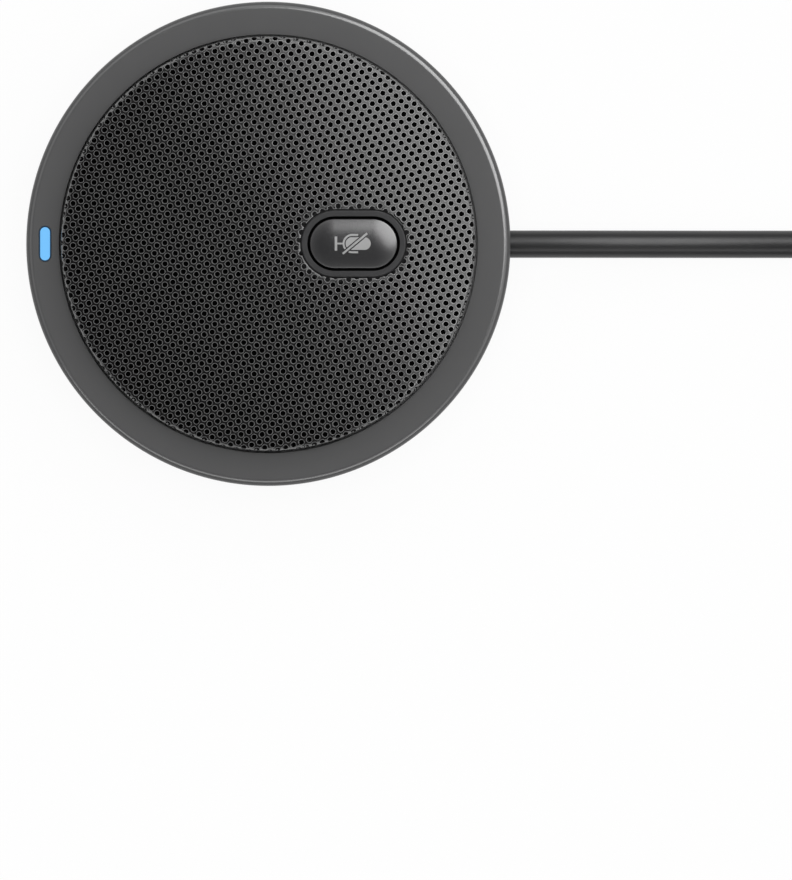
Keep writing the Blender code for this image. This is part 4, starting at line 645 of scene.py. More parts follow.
distance = {(i, j): np.linalg.norm(hole_place((i, j))) for i in span for j in span}
face_cells = [cell for cell, far in distance.items() if far < FACE_REACH and not in_opening(cell)]
edge_cells = [cell for cell, far in distance.items() if FACE_REACH <= far < BAND_REACH]
print("Cells:", len(face_cells), "on the face and", len(edge_cells), "over the edge")

# %% Make the grille
OPENING_ROOM, CHAMFER_ROOM = 0.18 * MM, 0.34 * MM
CHAMFER_LOW, CHAMFER_HIGH = GRILLE_TOP - 0.10 * MM, GRILLE_TOP + 0.02 * MM
grille_paint = new_finish(
    "grille_paint", (0.005, 0.005, 0.005), 0.19,
    gloss=0.60, clouds=0.05, cloud_size=2 * MM, uneven=0.02,
)
# A pale colour on the rims and the roll: a painted highlight for the bright ring of light round each
# hole.
painted_rim_highlight = new_finish(
    "painted_rim_highlight", (0.125, 0.125, 0.125), 0.19, gloss=1.0, cloud_size=1 * MM, uneven=0.03
)
bare_edge = new_finish(
    "bare_edge", (0.15, 0.15, 0.15), 0.35, clouds=0.25, cloud_size=0.8 * MM, uneven=0.1
)


def around_button(room):
    """The outline of the button's frame, larger by the room given on every side."""
    return at_button(oval(NECK_LENGTH + 2 * room, NECK_WIDTH + 2 * room))


grille_face, face_shading = sheet_piece("grille_face", face_cells)
opening_loops = (
    (OPENING_ROOM, GRILLE_TOP - 2 * MM), (OPENING_ROOM, CHAMFER_LOW),
    (CHAMFER_ROOM, CHAMFER_HIGH), (CHAMFER_ROOM, GRILLE_TOP + 2 * MM),
)
button_way = skinned([raised(around_button(room), height) for room, height in opening_loops])
for face in button_way.faces:
    if CHAMFER_LOW < face.calc_center_median().z < CHAMFER_HIGH:
        face.material_index = BARE_SLOT
cut(grille_face, button_way, sharp=75)
shade_rims(grille_face, face_shading)
grille_edge, edge_shading = sheet_piece("grille_edge", edge_cells)
print("Faces before the band is joined:", len(grille_edge.data.polygons))

# %% [markdown]
# Under the ring the cup runs on as a plain band, and eight tabs at its foot fold in under the
# plate that carries it. They are joined to the pierced part so that it stays one closed sheet.

# %% Join the plain band and the tabs
BAND_TOP = 15.0 * MM
TAB_LENGTH, TAB_WIDTH, TABS = 2.7 * MM, 6 * MM, 8
band_outline = [
    (GRILLE_RADIUS - SHEET, GRILLE_LOW), (GRILLE_RADIUS, GRILLE_LOW),
    (GRILLE_RADIUS, BAND_TOP), (GRILLE_RADIUS - SHEET, BAND_TOP),
]
cut(grille_edge, lathed(band_outline, 256), way="UNION", sharp=75)
tabs = bmesh.new()
for i in range(TABS):
    middle = (GRILLE_RADIUS - 1.65 * MM, 0.0, GRILLE_LOW + SHEET / 2)
    turn = Matrix.Rotation(2 * math.pi * (i + 0.5) / TABS, 4, "Z")
    add_box(tabs, middle, (TAB_LENGTH, TAB_WIDTH, SHEET), turn)
cut(grille_edge, tabs, way="UNION", sharp=75)
shade_rims(grille_edge, edge_shading)
print("Faces on the grille:", len(grille_face.data.polygons), "and", len(grille_edge.data.polygons))

# %% [markdown]
# A liner of black foam lies right behind the sheet, as a disc with a skirt along the side band. It
# keeps the wind out, and nobody can look in at one side of the cup and out at the other. Its colour
# is set darker than black foam is: the black is real, the rest is painted shade deep behind the
# holes.

# %% Make the foam liner
# Black foam, set darker still as painted shade behind the holes.
foam_and_hole_shade = new_finish(
    "foam_and_hole_shade", (0.0015, 0.0015, 0.0015), 0.95,
    gloss=0.05, clouds=0.5, cloud_size=0.4 * MM, grain=0.15 * MM, grain_size=0.4 * MM,
)
foam_section = [
    (0.0, 17.3), (35.4, 17.3), (35.4, 13.9), (36.6, 13.9), (36.6, 18.75), (0.0, 18.75),
]
foam_shape = lathed(in_metres(foam_section), 128)
foam = made("foam_liner_visual", foam_shape, foam_and_hole_shade, "foam_liner")
cut(foam, bar(at_button(in_metres(oval(22.1, 15.2))), 16.5 * MM, 19.5 * MM))
print("Foam liner faces:", len(foam.data.polygons))

# %% [markdown]
# ## The housing
# The ring that shows from above and the wall below it are one moulding with satin paint. Its
# section is drawn once, with a wide easing at the top and bottom edges, and turned on the lathe.
# Inside hang the skirt and the ledge that carry the grille's plate.
#
# Two parts of it have another finish. The wall of the groove round the grille is near-black: painted
# shade, which stands in for the shade deep in the narrow groove. The shoulder outside the ring's
# highlight is the ring's colour with less gloss, because the photograph has a dark line there; on
# the real object that may be a reflection.

# %% Turn the housing
ring_paint = new_finish(
    "ring_paint", (0.086, 0.086, 0.087), 0.19,
    gloss=1.0, clouds=0.02, cloud_size=6 * MM, uneven=0.01,
    grain=0.006 * MM, grain_size=0.12 * MM,
)
shoulder_paint = new_finish(
    "shoulder_paint", (0.086, 0.086, 0.087), 0.30,
    gloss=0.30, clouds=0.02, cloud_size=6 * MM, uneven=0.02,
)
# Near-black painted shade for narrow gaps: the groove round the grille, the frame's inner wall and
# the cap's side.
painted_gap_shade = new_finish("painted_gap_shade", (0.0012, 0.0012, 0.0012), 0.7, gloss=0.05)
housing_section = [
    (42.4, 0.8, 0.12), (44.0, 0.8, 1.3), (44.0, 15.3, 1.35), (38.0, 15.3, 0.08),
    (38.0, 12.0, 0.0), (36.3, 12.0, 0.0), (36.3, 10.5, 0.0), (39.3, 10.5, 0.0),
    (39.3, 13.3, 0.3), (41.9, 13.3, 0.3), (41.9, 3.4, 0.0), (42.4, 3.4, 0.0),
]
housing_shape = lathed(eased(in_metres(housing_section), steps=8), 256)
housing = made("housing_shell", housing_shape, ring_paint, "housing")
print("Housing faces before the cuts:", len(housing.data.polygons))

# %% Cut the ways for the cord and the light
CORD_WAY_RADIUS = 2.75 * MM
LIGHT_X = -40.55 * MM
LIGHT_LENGTH, LIGHT_WIDTH = 6.44 * MM, 2.18 * MM
LIGHT_ROOM = 0.06 * MM


def light_outline(long_room, wide_room):
    """The light window's outline on the ring, with some room added to its length and width."""
    outline = oval(LIGHT_LENGTH + long_room, LIGHT_WIDTH + wide_room, 12)
    return [(LIGHT_X - y, x) for x, y in outline]


cord_way = bmesh.new()
cord_place = Matrix.Translation((43.5 * MM, 0.0, 6.6 * MM)) @ Matrix.Rotation(math.pi / 2, 4, "Y")
bmesh.ops.create_cone(
    cord_way, cap_ends=True, segments=64, matrix=cord_place,
    radius1=CORD_WAY_RADIUS, radius2=CORD_WAY_RADIUS, depth=6 * MM,
)
cut(housing, cord_way)
cut(housing, bar(light_outline(2 * LIGHT_ROOM, 2 * LIGHT_ROOM), 12 * MM, 17 * MM))
print("Housing faces after the cuts:", len(housing.data.polygons))

# %% Share out the housing's finishes
GROOVE_RADIUS = 38.0 * MM
SHOULDER_RADIUS = 42.5 * MM


def on_groove_wall(face):
    """Whether an upright face belongs to the wall round the grille."""
    return abs(face.normal.z) < 0.3 and abs(face.center.xy.length - GROOVE_RADIUS) < 0.1 * MM


def on_shoulder(face):
    """Whether a face leans outwards, beyond the crest of the ring's edge."""
    return face.center.xy.length > SHOULDER_RADIUS and 0.15 < face.normal.z < 0.85


# The groove's wall takes the painted shade.
refinish(housing, painted_gap_shade, on_groove_wall)
refinish(housing, shoulder_paint, on_shoulder)
level_flats(housing)

# %% [markdown]
# ## The status light
# A clear bar brings the light of a lamp on the board up to the ring. Lit, it glows an even pale
# blue, so its finish is an emission of that blue over a dark base. Only the end of the bar glows;
# its sides are dark blue, because the light inside them runs past and can't get out.

# %% Make the light window
window_glow, glow_tree, glow_shader = new_material("window_glow")
glow_inputs = {"Base Color": (0.01, 0.02, 0.03, 1.0), "Roughness": 0.35, "Specular IOR Level": 0.2}
glow_inputs |= {"Emission Color": (0.172, 0.525, 0.95, 1.0), "Emission Strength": 1.0}
feed(glow_tree, glow_shader, glow_inputs)
window_profile = [
    (0.0, 11.5), (0.0, 12.2), (1.2, 12.2), (1.2, 13.0), (0.0, 13.0),
    (0.0, 15.20), (-0.03, 15.25), (-0.21, 15.25),
]
window_loops = []
for reach, height in window_profile:
    room = 2 * reach * MM
    window_loops.append(raised(light_outline(room, min(room, 0.0)), height * MM))
clear_blue = new_finish("clear_blue", (0.012, 0.045, 0.100), 0.30, gloss=0.3, clouds=0.05)
window = made("light_window", skinned(window_loops), window_glow, "light_pipe")
refinish(window, clear_blue, lambda face: len(face.vertices) == 4 or face.center.z < 15.0 * MM)

# %% [markdown]
# ## The button and its frame
# The frame and the cap are oval: straight sides and half-round ends. The frame is made the way a
# turned piece is, except that its section runs round an oval, so the section is a list of
# (distance outside the oval, height) points.


# %% A helper that runs a section round an oval
def oval_ring(section, length, width):
    """A closed section of (distance out, height) points, run round the button's oval."""
    outlines = [(oval(length + 2 * out, width + 2 * out), height) for out, height in section]
    return skinned([raised(at_button(line), height) for line, height in outlines], closed=True)


# %% Make the button's frame
bezel_plastic = new_finish(
    "bezel_plastic", (0.029, 0.029, 0.030), 0.40,
    gloss=0.25, clouds=0.05, grain=0.010 * MM, grain_size=0.15 * MM,
)
bezel_section = [
    (0.10, 18.2, 0.0), (0.10, 19.6, 0.06), (1.23, 19.6, 0.24), (1.23, 17.0, 0.0),
    (2.43, 17.0, 0.2), (2.43, 14.1, 0.0), (0.73, 14.1, 0.0), (0.73, 18.2, 0.0),
]
bezel_shape = oval_ring(eased(in_metres(bezel_section), steps=5), 16.6 * MM, 9.7 * MM)
bezel = made("button_frame", bezel_shape, bezel_plastic, "button_bezel")


def looks_inwards(face):
    """Whether an upright face of the frame looks towards the cap."""
    inwards = Vector((BUTTON_X, 0.0, face.center.z)) - face.center
    return abs(face.normal.z) < 0.3 and face.normal.dot(inwards) > 0


# The frame's inner wall takes the painted shade of the gap round the cap.
refinish(bezel, painted_gap_shade, looks_inwards)
level_flats(bezel)

# %% [markdown]
# The cap is crowned: its height falls towards the edge as the square of the distance, which is a
# parabola, and a small easing rounds the edge itself. That steady curve is what draws the soft
# bright band at one end of the real cap. Below the crown its side is near-black, like the frame's
# inner wall: painted shade, so that the gap between them reads as a dark line.

# %% Shape the crown of the cap
CAP_LENGTH, CAP_WIDTH = 15.9 * MM, 9.0 * MM
CAP_TOP = button_high.z - 0.02 * MM
CROWN = 0.75 * MM
CAP_EDGE = 0.16 * MM
CAP_SIDE_TOP = 18.6 * MM


def crown_height(inset):
    """The cap's height at a distance in from its edge."""
    drop = CROWN * (1 - min(inset / (CAP_WIDTH / 2), 1.0)) ** 2
    if inset < CAP_EDGE:
        drop += CAP_EDGE - math.sqrt(CAP_EDGE**2 - (CAP_EDGE - inset) ** 2)
    return CAP_TOP - drop


edge_insets = [CAP_EDGE * (1 - math.cos(math.radians(a))) for a in (0, 12, 25, 40, 57, 75, 90)]
top_insets = [0.45, 0.7, 1.0, 1.4, 1.8, 2.2, 2.6, 3.0, 3.4, 3.8, 4.15, 4.4, 4.49]
top_insets = [inset * MM for inset in top_insets]


def crown_loop(inset, lift=0.0):
    """The cap's outline at a distance in from its edge, on the crown or lifted off it."""
    outline = oval(CAP_LENGTH - 2 * inset, CAP_WIDTH - 2 * inset)
    return raised(at_button(outline), crown_height(inset) + lift)


print(f"The crown falls by {1000 * (crown_height(CAP_WIDTH / 2) - crown_height(0.0)):.2f} mm")

# %% Make the mute button's cap
cap_plastic = new_finish(
    "cap_plastic", (0.022, 0.022, 0.023), 0.26,
    gloss=1.0, clouds=0.03, uneven=0.02, grain=0.003 * MM, grain_size=0.12 * MM,
)
flange = [
    (6.0, 4.0, 15.4), (6.0, 4.0, 17.2), (17.5, 10.6, 17.2), (17.5, 10.6, 18.0),
    (15.9, 9.0, 18.0),
]
cap_loops = [raised(at_button(in_metres(oval(x, y))), height * MM) for x, y, height in flange]
cap_loops += [crown_loop(inset) for inset in edge_insets + top_insets]
cap = made(
    "button_cap", skinned(cap_loops), cap_plastic, "mute_button",
    body="mute_button", sharp=40,
)
# Below the crown the cap's side takes the painted shade of the gap.
refinish(cap, painted_gap_shade, lambda face: face.center.z < CAP_SIDE_TOP)

# %% [markdown]
# ## The pictogram
# The sign for a muted microphone is printed on the cap: a stand, a cradle, a capsule and a slash
# with a clear gap on both sides. Flat prints could be a texture, but thin solid ink keeps a crisp
# edge at any distance and is there in an exported mesh. Each stroke is an upright bar. The gap is
# cut out of the first strokes, the slash goes in, and all of it is trimmed to a skin over the
# crown.


# %% Draw the strokes of the pictogram
def stroke(points, width):
    """The outline on the button of a bent line, its points and width given in millimetres."""
    line = [Vector(point) for point in points]
    left, right = [], []
    for k, here in enumerate(line):
        way = (line[min(k + 1, len(line) - 1)] - line[max(k - 1, 0)]).normalized()
        side = Vector((-way.y, way.x)) * width / 2
        left.append(here + side)
        right.append(here - side)
    return at_button(in_metres(left + right[::-1]))


def upright(outline):
    """An outline on the button as a bar that passes right through the crown."""
    return bar(outline, CAP_TOP - 2 * MM, CAP_TOP + 1 * MM)


SLASH = ((-1.97, -1.85), (2.45, 1.86))
cradle = [(0.82, 1.58), (0.3, 1.58)]
cradle += [
    (-0.245 + 1.58 * math.cos(a), 1.58 * math.sin(a))
    for a in (math.radians(90 + 7.5 * k) for k in range(25))
]
cradle += [(0.3, -1.58), (0.82, -1.58)]
capsule = at_button(in_metres([(x + 0.83, y) for x, y in oval(4.56, 2.29)]))
ink = new_finish("ink_grey", (0.33, 0.33, 0.33), 0.5, gloss=0.3, clouds=0.05, cloud_size=0.5 * MM)
stand = upright(stroke([(-3.2, -1.28), (-3.2, 1.28)], 0.45))
sign = made("mute_sign", stand, ink, body="mute_button")
for outline, way in (
    (stroke([(-3.1, 0.0), (-1.75, 0.0)], 0.30), "UNION"),
    (stroke(cradle, 0.34), "UNION"),
    (capsule, "UNION"),
    (stroke(SLASH, 0.80), "DIFFERENCE"),
    (stroke(SLASH, 0.36), "UNION"),
):
    cut(sign, upright(outline), way)
under = [crown_loop(inset, -0.06 * MM) for inset in top_insets]
over = [crown_loop(inset, 0.010 * MM) for inset in top_insets]
cut(sign, skinned(under[::-1] + over), way="INTERSECT")
print("Pictogram faces:", len(sign.data.polygons))

# %% [markdown]
# ## The foot
# The microphone stands on a ring of soft rubber with two grooves that help it to grip. The grooves
# face the table, so they show only from below.

# %% Turn the foot
foot_rubber = new_finish(
    "foot_rubber", (0.050, 0.050, 0.051), 0.75,
    gloss=0.3, clouds=0.12, grain=0.012 * MM, grain_size=0.25 * MM,
)
foot_section = [
    (30.05, 0.0, 0.15), (33.6, 0.0, 0.1), (33.8, 0.35, 0.1), (34.6, 0.35, 0.1),
    (34.8, 0.0, 0.1), (37.3, 0.0, 0.1), (37.5, 0.35, 0.1), (38.3, 0.35, 0.1),
    (38.5, 0.0, 0.1), (42.05, 0.0, 0.25), (42.05, 1.2, 0.1), (30.05, 1.2, 0.1),
]
foot_shape = lathed(eased(in_metres(foot_section), steps=3), 192)
foot = made("foot", foot_shape, foot_rubber, "foot_ring")
print("Foot faces:", len(foot.data.polygons))

# %% [markdown]
# ## Screws under the base
# Four pan-head screws close the base. A turned head with a crowned face and a cross-shaped recess
# is enough to read as a screw: the recess is two tapered blocks cut out of the head.

# %% Make the base screws
SHANK_LENGTH, SHANK_RADIUS = 7 * MM, 1.15 * MM
screw_steel = new_finish(
    "screw_steel", (0.56, 0.57, 0.58), 0.30,
    metallic=1.0, clouds=0.06, grain=0.002 * MM, grain_size=0.1 * MM,
)


def tapered_block(long, wide, deep, seat):
    """A block for a screw's recess, narrower at its floor, which is above its mouth."""
    mouth = [(long, -wide), (long, wide), (-long, wide), (-long, -wide)]
    loops = ((1.2, 1.2, seat - 0.2 * MM), (1.0, 1.0, seat), (0.6, 0.7, seat + deep))
    return skinned([[(x * long, y * wide, z) for x, y in mouth] for long, wide, z in loops])


for number in range(1, 5):
    low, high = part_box(f"base_screw_{number}")
    middle = (low + high) / 2
    radius = (high.x - low.x) / 2
    head = high.z - SHANK_LENGTH
    section = [(0.0, low.z), (radius * 0.5, low.z + 0.02 * MM), (radius * 0.8, low.z + 0.12 * MM)]
    section += [(radius * 0.97, low.z + 0.35 * MM), (radius, low.z + 0.55 * MM), (radius, head)]
    section += [(SHANK_RADIUS, head), (SHANK_RADIUS, high.z - 0.4 * MM)]
    section += [(0.6 * MM, high.z), (0.0, high.z)]
    name, node = f"cover_screw_{number}", f"base_screw_{number}"
    screw = made(name, lathed(section, 48), screw_steel, node)
    for turn in (Matrix(), Matrix.Rotation(math.pi / 2, 4, "Z")):
        recess = tapered_block(1.25 * MM, 0.3 * MM, 0.7 * MM, low.z)
        recess.transform(turn)
        cut(screw, recess)
    screw.data.transform(Matrix.Translation((middle.x, middle.y, 0.0)))
print("Four base screws, each", round(2000 * radius, 1), "mm across the head")

# %% [markdown]
# ## The plug and the straps
# The cord ends in a USB plug that lies on the coil, and two hook-and-loop straps hold the coil.
# The plug is built upright, with its cord end at the origin, and then laid down: its parts are
# skins over ovals and eased rectangles along one axis.

# %% Make the plug's grip
LAY_DOWN = Matrix.Translation(PLUG_PLACE) @ Matrix.Rotation(math.pi / 2, 4, "X")
grip_plastic = new_finish(
    "grip_plastic", (0.030, 0.030, 0.031), 0.5,
    gloss=0.45, grain=0.008 * MM, grain_size=0.2 * MM,
)
grip_loops = []
for k in range(21):
    share = k / 20
    groove = 0.8 if k % 4 in (2, 3) and k < 20 else 0.0
    width, thick = 6.4 + 2.6 * share - groove, 6.0 + 1.0 * share - groove
    grip_loops.append(raised(oval(width * MM, thick * MM, 12), (0.2 + 12.1 * share) * MM))
grip_profile = [
    (1.4, 13.0), (0.6, 13.15), (0.2, 13.45), (0.0, 13.9),
    (0.0, 32.1), (0.2, 32.55), (0.6, 32.85), (1.4, 33.0),
]
for inset, height in grip_profile:
    grip_loops.append(raised(oval((15.5 - inset) * MM, (7.8 - inset) * MM, 12), height * MM))
grip = made("plug_grip", skinned(grip_loops), grip_plastic, "plug_body")


def block(low, high):
    """A box between two corners in millimetres, as a shape."""
    low, high = Vector(low) * MM, Vector(high) * MM
    return add_box(bmesh.new(), (low + high) / 2, high - low)


cut(grip, block((-6.3, -2.55, 29.7), (6.3, 2.55, 35.0)))
for side in (-3.9, 3.9):
    for k in range(5):
        start = 17.4 + 2.2 * k
        cut(grip, block((-3.5, side - 0.15, start), (3.5, side + 0.15, start + 0.9)))
print("Plug grip faces:", len(grip.data.polygons))

# %% [markdown]
# The shell is folded from one steel strip, so it has a seam along one face, and each wide face has
# two square windows that a socket's springs snap into. Inside lies the tongue with four gold
# contacts.

# %% Make the shell, the tongue and the contacts
shell_steel = new_finish(
    "shell_steel", (0.60, 0.60, 0.61), 0.26,
    metallic=1.0, clouds=0.05, grain=0.002 * MM, grain_size=0.15 * MM,
)
tongue_plastic = new_finish("tongue_plastic", (0.03, 0.03, 0.032), 0.45, clouds=0.05)
gold = new_finish("contact_gold", (0.90, 0.62, 0.24), 0.25, metallic=1.0, clouds=0.04)
SHELL_BACK, SHELL_FRONT = 30.0 * MM, 45.0 * MM


def eased_rectangle(width, thick, radius):
    """The outline of a rectangle with rounded corners, its sizes given in millimetres."""
    x, y = width / 2, thick / 2
    corners = [(x, -y, radius), (x, y, radius), (-x, y, radius), (-x, -y, radius)]
    return eased(in_metres(corners), steps=3)


shell_profile = (
    (12.0, 4.5, 0.6, SHELL_BACK),
    (12.0, 4.5, 0.6, SHELL_FRONT - 0.1 * MM),
    (11.8, 4.3, 0.55, SHELL_FRONT),
    (11.4, 3.9, 0.35, SHELL_FRONT),
    (11.4, 3.9, 0.35, SHELL_BACK),
)
shell_shape = skinned([raised(eased_rectangle(*r), z) for *r, z in shell_profile], closed=True)
shell = made("plug_sleeve", shell_shape, shell_steel, "plug_shell")
for side in (-3, 3):
    cut(shell, block((side - 1.1, -4.0, 37.9), (side + 1.1, 4.0, 40.1)))
cut(shell, block((-0.06, -2.4, 29.0), (0.06, -2.1, 46.0)))
tongue_shape = block((-5.55, 0.0, 30.0), (5.55, 1.8, 44.0))
tongue = made("plug_insert", tongue_shape, tongue_plastic, "plug_tongue")
cut(tongue, block((-5.55, -1.8, 30.0), (5.55, 0.3, 34.0)), way="UNION")
contacts = bmesh.new()
for x, reach in ((-3.5, 43.2), (-1.0, 42.2), (1.0, 42.2), (3.5, 43.2)):
    size = (1.0 * MM, 0.16 * MM, (reach - 34.0) * MM)
    add_box(contacts, Vector((x, -0.02, (34.0 + reach) / 2)) * MM, size)
contacts = made("plug_contacts", contacts, gold)
for part in (grip, shell, tongue, contacts):
    part.data.transform(LAY_DOWN)

# %% [markdown]
# Each strap is a band of woven nylon round the whole bundle of turns. Its section is drawn in the
# upright plane that points away from the coil's middle, and then given the strap's width.

# %% Weave the strap's finish
strap_weave = new_finish(
    "strap_weave", (0.035, 0.035, 0.037), 0.85,
    gloss=0.2, clouds=0.25, cloud_size=0.6 * MM, uneven=0.08,
)
THREADS_A_METRE = 2200.0
weave = strap_weave.node_tree
thread_place = weave.nodes.new("ShaderNodeTexCoord").outputs["Object"]
threads = added(weave, "ShaderNodeTexVoronoi", {"Vector": thread_place, "Scale": THREADS_A_METRE})
thread_inputs = {"Height": threads.outputs["Distance"], "Distance": 0.08 * MM}
thread_bump = added(weave, "ShaderNodeBump", thread_inputs)
feed(weave, weave.nodes["Principled BSDF"], {"Normal": thread_bump.outputs["Normal"]})
print("The strap's finish has", len(weave.nodes), "nodes")

# %% Make the straps
THICK, HALF_WIDTH = 0.8 * MM, 4.0 * MM
EASE = 0.12 * MM
STRAP_ROOM = 0.3 * MM


def strap_section(inner, outer, low, high, radius):
    """The eased outline of a strap, as (distance from the coil's middle, height) points."""
    corners = [(inner, low), (outer, low), (outer, high), (inner, high)]
    return eased([(*corner, radius) for corner in corners], steps=6)


for number, angle in ((1, 192), (2, 282)):
    low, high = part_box(f"coil_tie_{number}")
    inner = math.sqrt((COIL_INNER_RADIUS - CORD_DIAMETER / 2) ** 2 - HALF_WIDTH**2) - STRAP_ROOM
    outer = COIL_INNER_RADIUS + COIL_PITCH * COIL_TURNS / 2 + CORD_DIAMETER / 2 + STRAP_ROOM
    ceiling, centre = high.z - THICK, (inner + outer) / 2
    inside = strap_section(inner, outer, THICK, ceiling, 2.5 * MM)
    outside = strap_section(inner - THICK, outer + THICK, 0.0, ceiling + THICK, 3.3 * MM)
    edge = HALF_WIDTH - EASE
    loops = []
    for across, ease in ((-HALF_WIDTH, EASE), (-edge, 0.0), (edge, 0.0), (HALF_WIDTH, EASE)):
        loops.append([(x - math.copysign(ease, x - centre), across, z) for x, z in outside])
    loops += [[(x, across, z) for x, z in inside] for across in (HALF_WIDTH, -HALF_WIDTH)]
    strap_shape, node = skinned(loops, closed=True), f"coil_tie_{number}"
    strap = made(f"strap_{number}", strap_shape, strap_weave, node)
    turn = Matrix.Rotation(math.radians(angle), 4, "Z")
    strap.data.transform(Matrix.Translation(COIL_CENTRE) @ turn)

# %% [markdown]
# ## Inside the housing
# Nothing of the inside shows in the photograph except the black foam behind the holes, but someone
# may take the part apart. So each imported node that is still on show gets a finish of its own.

# %% Finish what is inside
moulded_black = new_finish(
    "moulded_black", (0.022, 0.022, 0.023), 0.55,
    gloss=0.4, clouds=0.1, grain=0.012 * MM, grain_size=0.3 * MM,
)
soft_rubber = new_finish("soft_rubber", (0.018, 0.018, 0.018), 0.8, gloss=0.25, clouds=0.15)
plated_steel = new_finish("plated_steel", (0.56, 0.57, 0.58), 0.32, metallic=1.0, clouds=0.08)
drawn_can = new_finish("drawn_can", (0.74, 0.74, 0.75), 0.33, metallic=1.0, clouds=0.05)
solder_mask = new_finish(
    "solder_mask", (0.020, 0.110, 0.050), 0.4,
    clouds=0.2, cloud_size=0.9 * MM, grain=0.01 * MM, grain_size=0.4 * MM,
)
lamp_white = new_finish("lamp_white", (0.80, 0.80, 0.75), 0.4, clouds=0.03)
socket_cream = new_finish("socket_cream", (0.72, 0.68, 0.56), 0.5, clouds=0.06)
INSIDE = {
    moulded_black: "base_cover inner_frame switch_body usb_audio_chip voltage_regulator",
    soft_rubber: "capsule_boot cord_anchor",
    plated_steel: (
        "weight_plate board_screw_1 board_screw_2 board_screw_3 clamp_screw_1 clamp_screw_2 "
        "cord_clamp clock_crystal capsule_lead_plus capsule_lead_minus"
    ),
    drawn_can: "mic_capsule capacitor_1 capacitor_2",
    solder_mask: "main_board",
    lamp_white: "status_led",
    socket_cream: "wire_socket wire_plug",
    new_finish("plunger_red", (0.25, 0.02, 0.02), 0.5): "switch_plunger",
    new_finish("wire_red", (0.55, 0.02, 0.02), 0.45): "wire_red",
    new_finish("wire_black", (0.02, 0.02, 0.02), 0.45): "wire_black",
    new_finish("wire_green", (0.02, 0.28, 0.06), 0.45): "wire_green",
    new_finish("wire_white", (0.75, 0.75, 0.74), 0.45): "wire_white",
}
for finish, names in INSIDE.items():
    for name in names.split():
        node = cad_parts[name]
        node.data.materials.clear()
        node.data.materials.append(finish)
finished = " ".join(INSIDE.values()).split()
print("Packed nodes with a finish:", sorted(finished))

# %% [markdown]
# The button's spring is a snap dome: a thin bowed disc of steel that gives way under the plunger
# and springs back. It can't be pressed lower than the thickness of its own sheet, so that is what
# the squash leaves of its height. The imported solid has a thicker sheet, too thick for the room
# that the plunger leaves, so a thinner one is drawn here.

# %% Make the snap dome
dome_low, dome_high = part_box("switch_dome")
DOME_SHEET = 0.08 * MM
DOME_STEPS = 8
dome_radius = (dome_high.x - dome_low.x) / 2
dome_rise = dome_high.z - dome_low.z - DOME_SHEET
bow = []
for k in range(DOME_STEPS + 1):
    height = dome_low.z + dome_rise * math.cos(math.pi / 2 * k / DOME_STEPS)
    bow.append((dome_radius * k / DOME_STEPS, height))
dome_shape = lathed(bow + [(reach, height + DOME_SHEET) for reach, height in reversed(bow)], 48)
bmesh.ops.translate(dome_shape, verts=dome_shape.verts, vec=(BUTTON_X, 0.0, 0.0))
dome = made("snap_dome", dome_shape, plated_steel, "switch_dome")
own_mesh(dome)
print(f"Snap dome: {2000 * dome_radius:.2f} mm across, rises {1000 * dome_rise:.2f} mm")
shown = [name for name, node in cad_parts.items() if not node.hide_render]
print("Packed nodes still on show:", sorted(shown))
print("Without a finish:", sorted(set(shown) - set(finished)))

# %% [markdown]
# ## The table and the light
# The photograph has a plain white ground. A pale floor, lit by the same light, comes out a light
# grey, so rays that see it directly, or see it in a shiny surface, find mostly plain white there.
# The rest of the floor's own shading stays, so the object keeps its soft shadow. From below the
# table is clear, so that the underside can be looked at.

# %% Make the table's finish
WHITE_SHARE = 0.93
table_finish, tree, shader = new_material("table_white")
table_inputs = {"Base Color": (0.90, 0.90, 0.90, 1.0), "Roughness": 0.9, "Specular IOR Level": 0.0}
feed(tree, shader, table_inputs)
seen = tree.nodes.new("ShaderNodeLightPath").outputs
white = added(tree, "ShaderNodeEmission", {"Color": (1.0, 1.0, 1.0, 1.0)})
rays = {0: seen["Is Camera Ray"], 1: seen["Is Glossy Ray"]}
either = added(tree, "ShaderNodeMath", rays, "MAXIMUM")
rays = {0: either.outputs[0], 1: seen["Is Transmission Ray"]}
any_of = added(tree, "ShaderNodeMath", rays, "MAXIMUM")
share = added(tree, "ShaderNodeMath", {0: any_of.outputs[0], 1: WHITE_SHARE}, "MULTIPLY")
mixed = {0: share.outputs[0], 1: shader.outputs[0], 2: white.outputs[0]}
blend = added(tree, "ShaderNodeMixShader", mixed)
side = tree.nodes.new("ShaderNodeNewGeometry").outputs["Backfacing"]
clear = tree.nodes.new("ShaderNodeBsdfTransparent").outputs[0]
one_sided = added(tree, "ShaderNodeMixShader", {0: side, 1: blend.outputs[0], 2: clear})
feed(tree, tree.nodes["Material Output"], {"Surface": one_sided.outputs[0]})
print("The table's finish has", len(tree.nodes), "nodes")

# %% Lay the table
table_shape = bmesh.new()
bmesh.ops.create_circle(table_shape, cap_ends=True, segments=96, radius=12.0)
for face in table_shape.faces:
    if face.normal.z < 0:
        face.normal_flip()
table_mesh = bpy.data.meshes.new("table")
table_shape.to_mesh(table_mesh)
table_mesh.materials.append(table_finish)
table = in_scene("table", table_mesh)
table.location.z = -0.02 * MM
print("The table is", round(table.dimensions.x), "m across")

# %% [markdown]
# The light is that of a round studio tent: bright all the way round, dim low down, and dark right
# overhead where the camera looks in. That dark spot keeps flat glossy faces dark, and the bright
# band draws the rims of the holes. The world's shader draws the tent from the ray's direction. It
# is brighter towards the upper right of the picture.

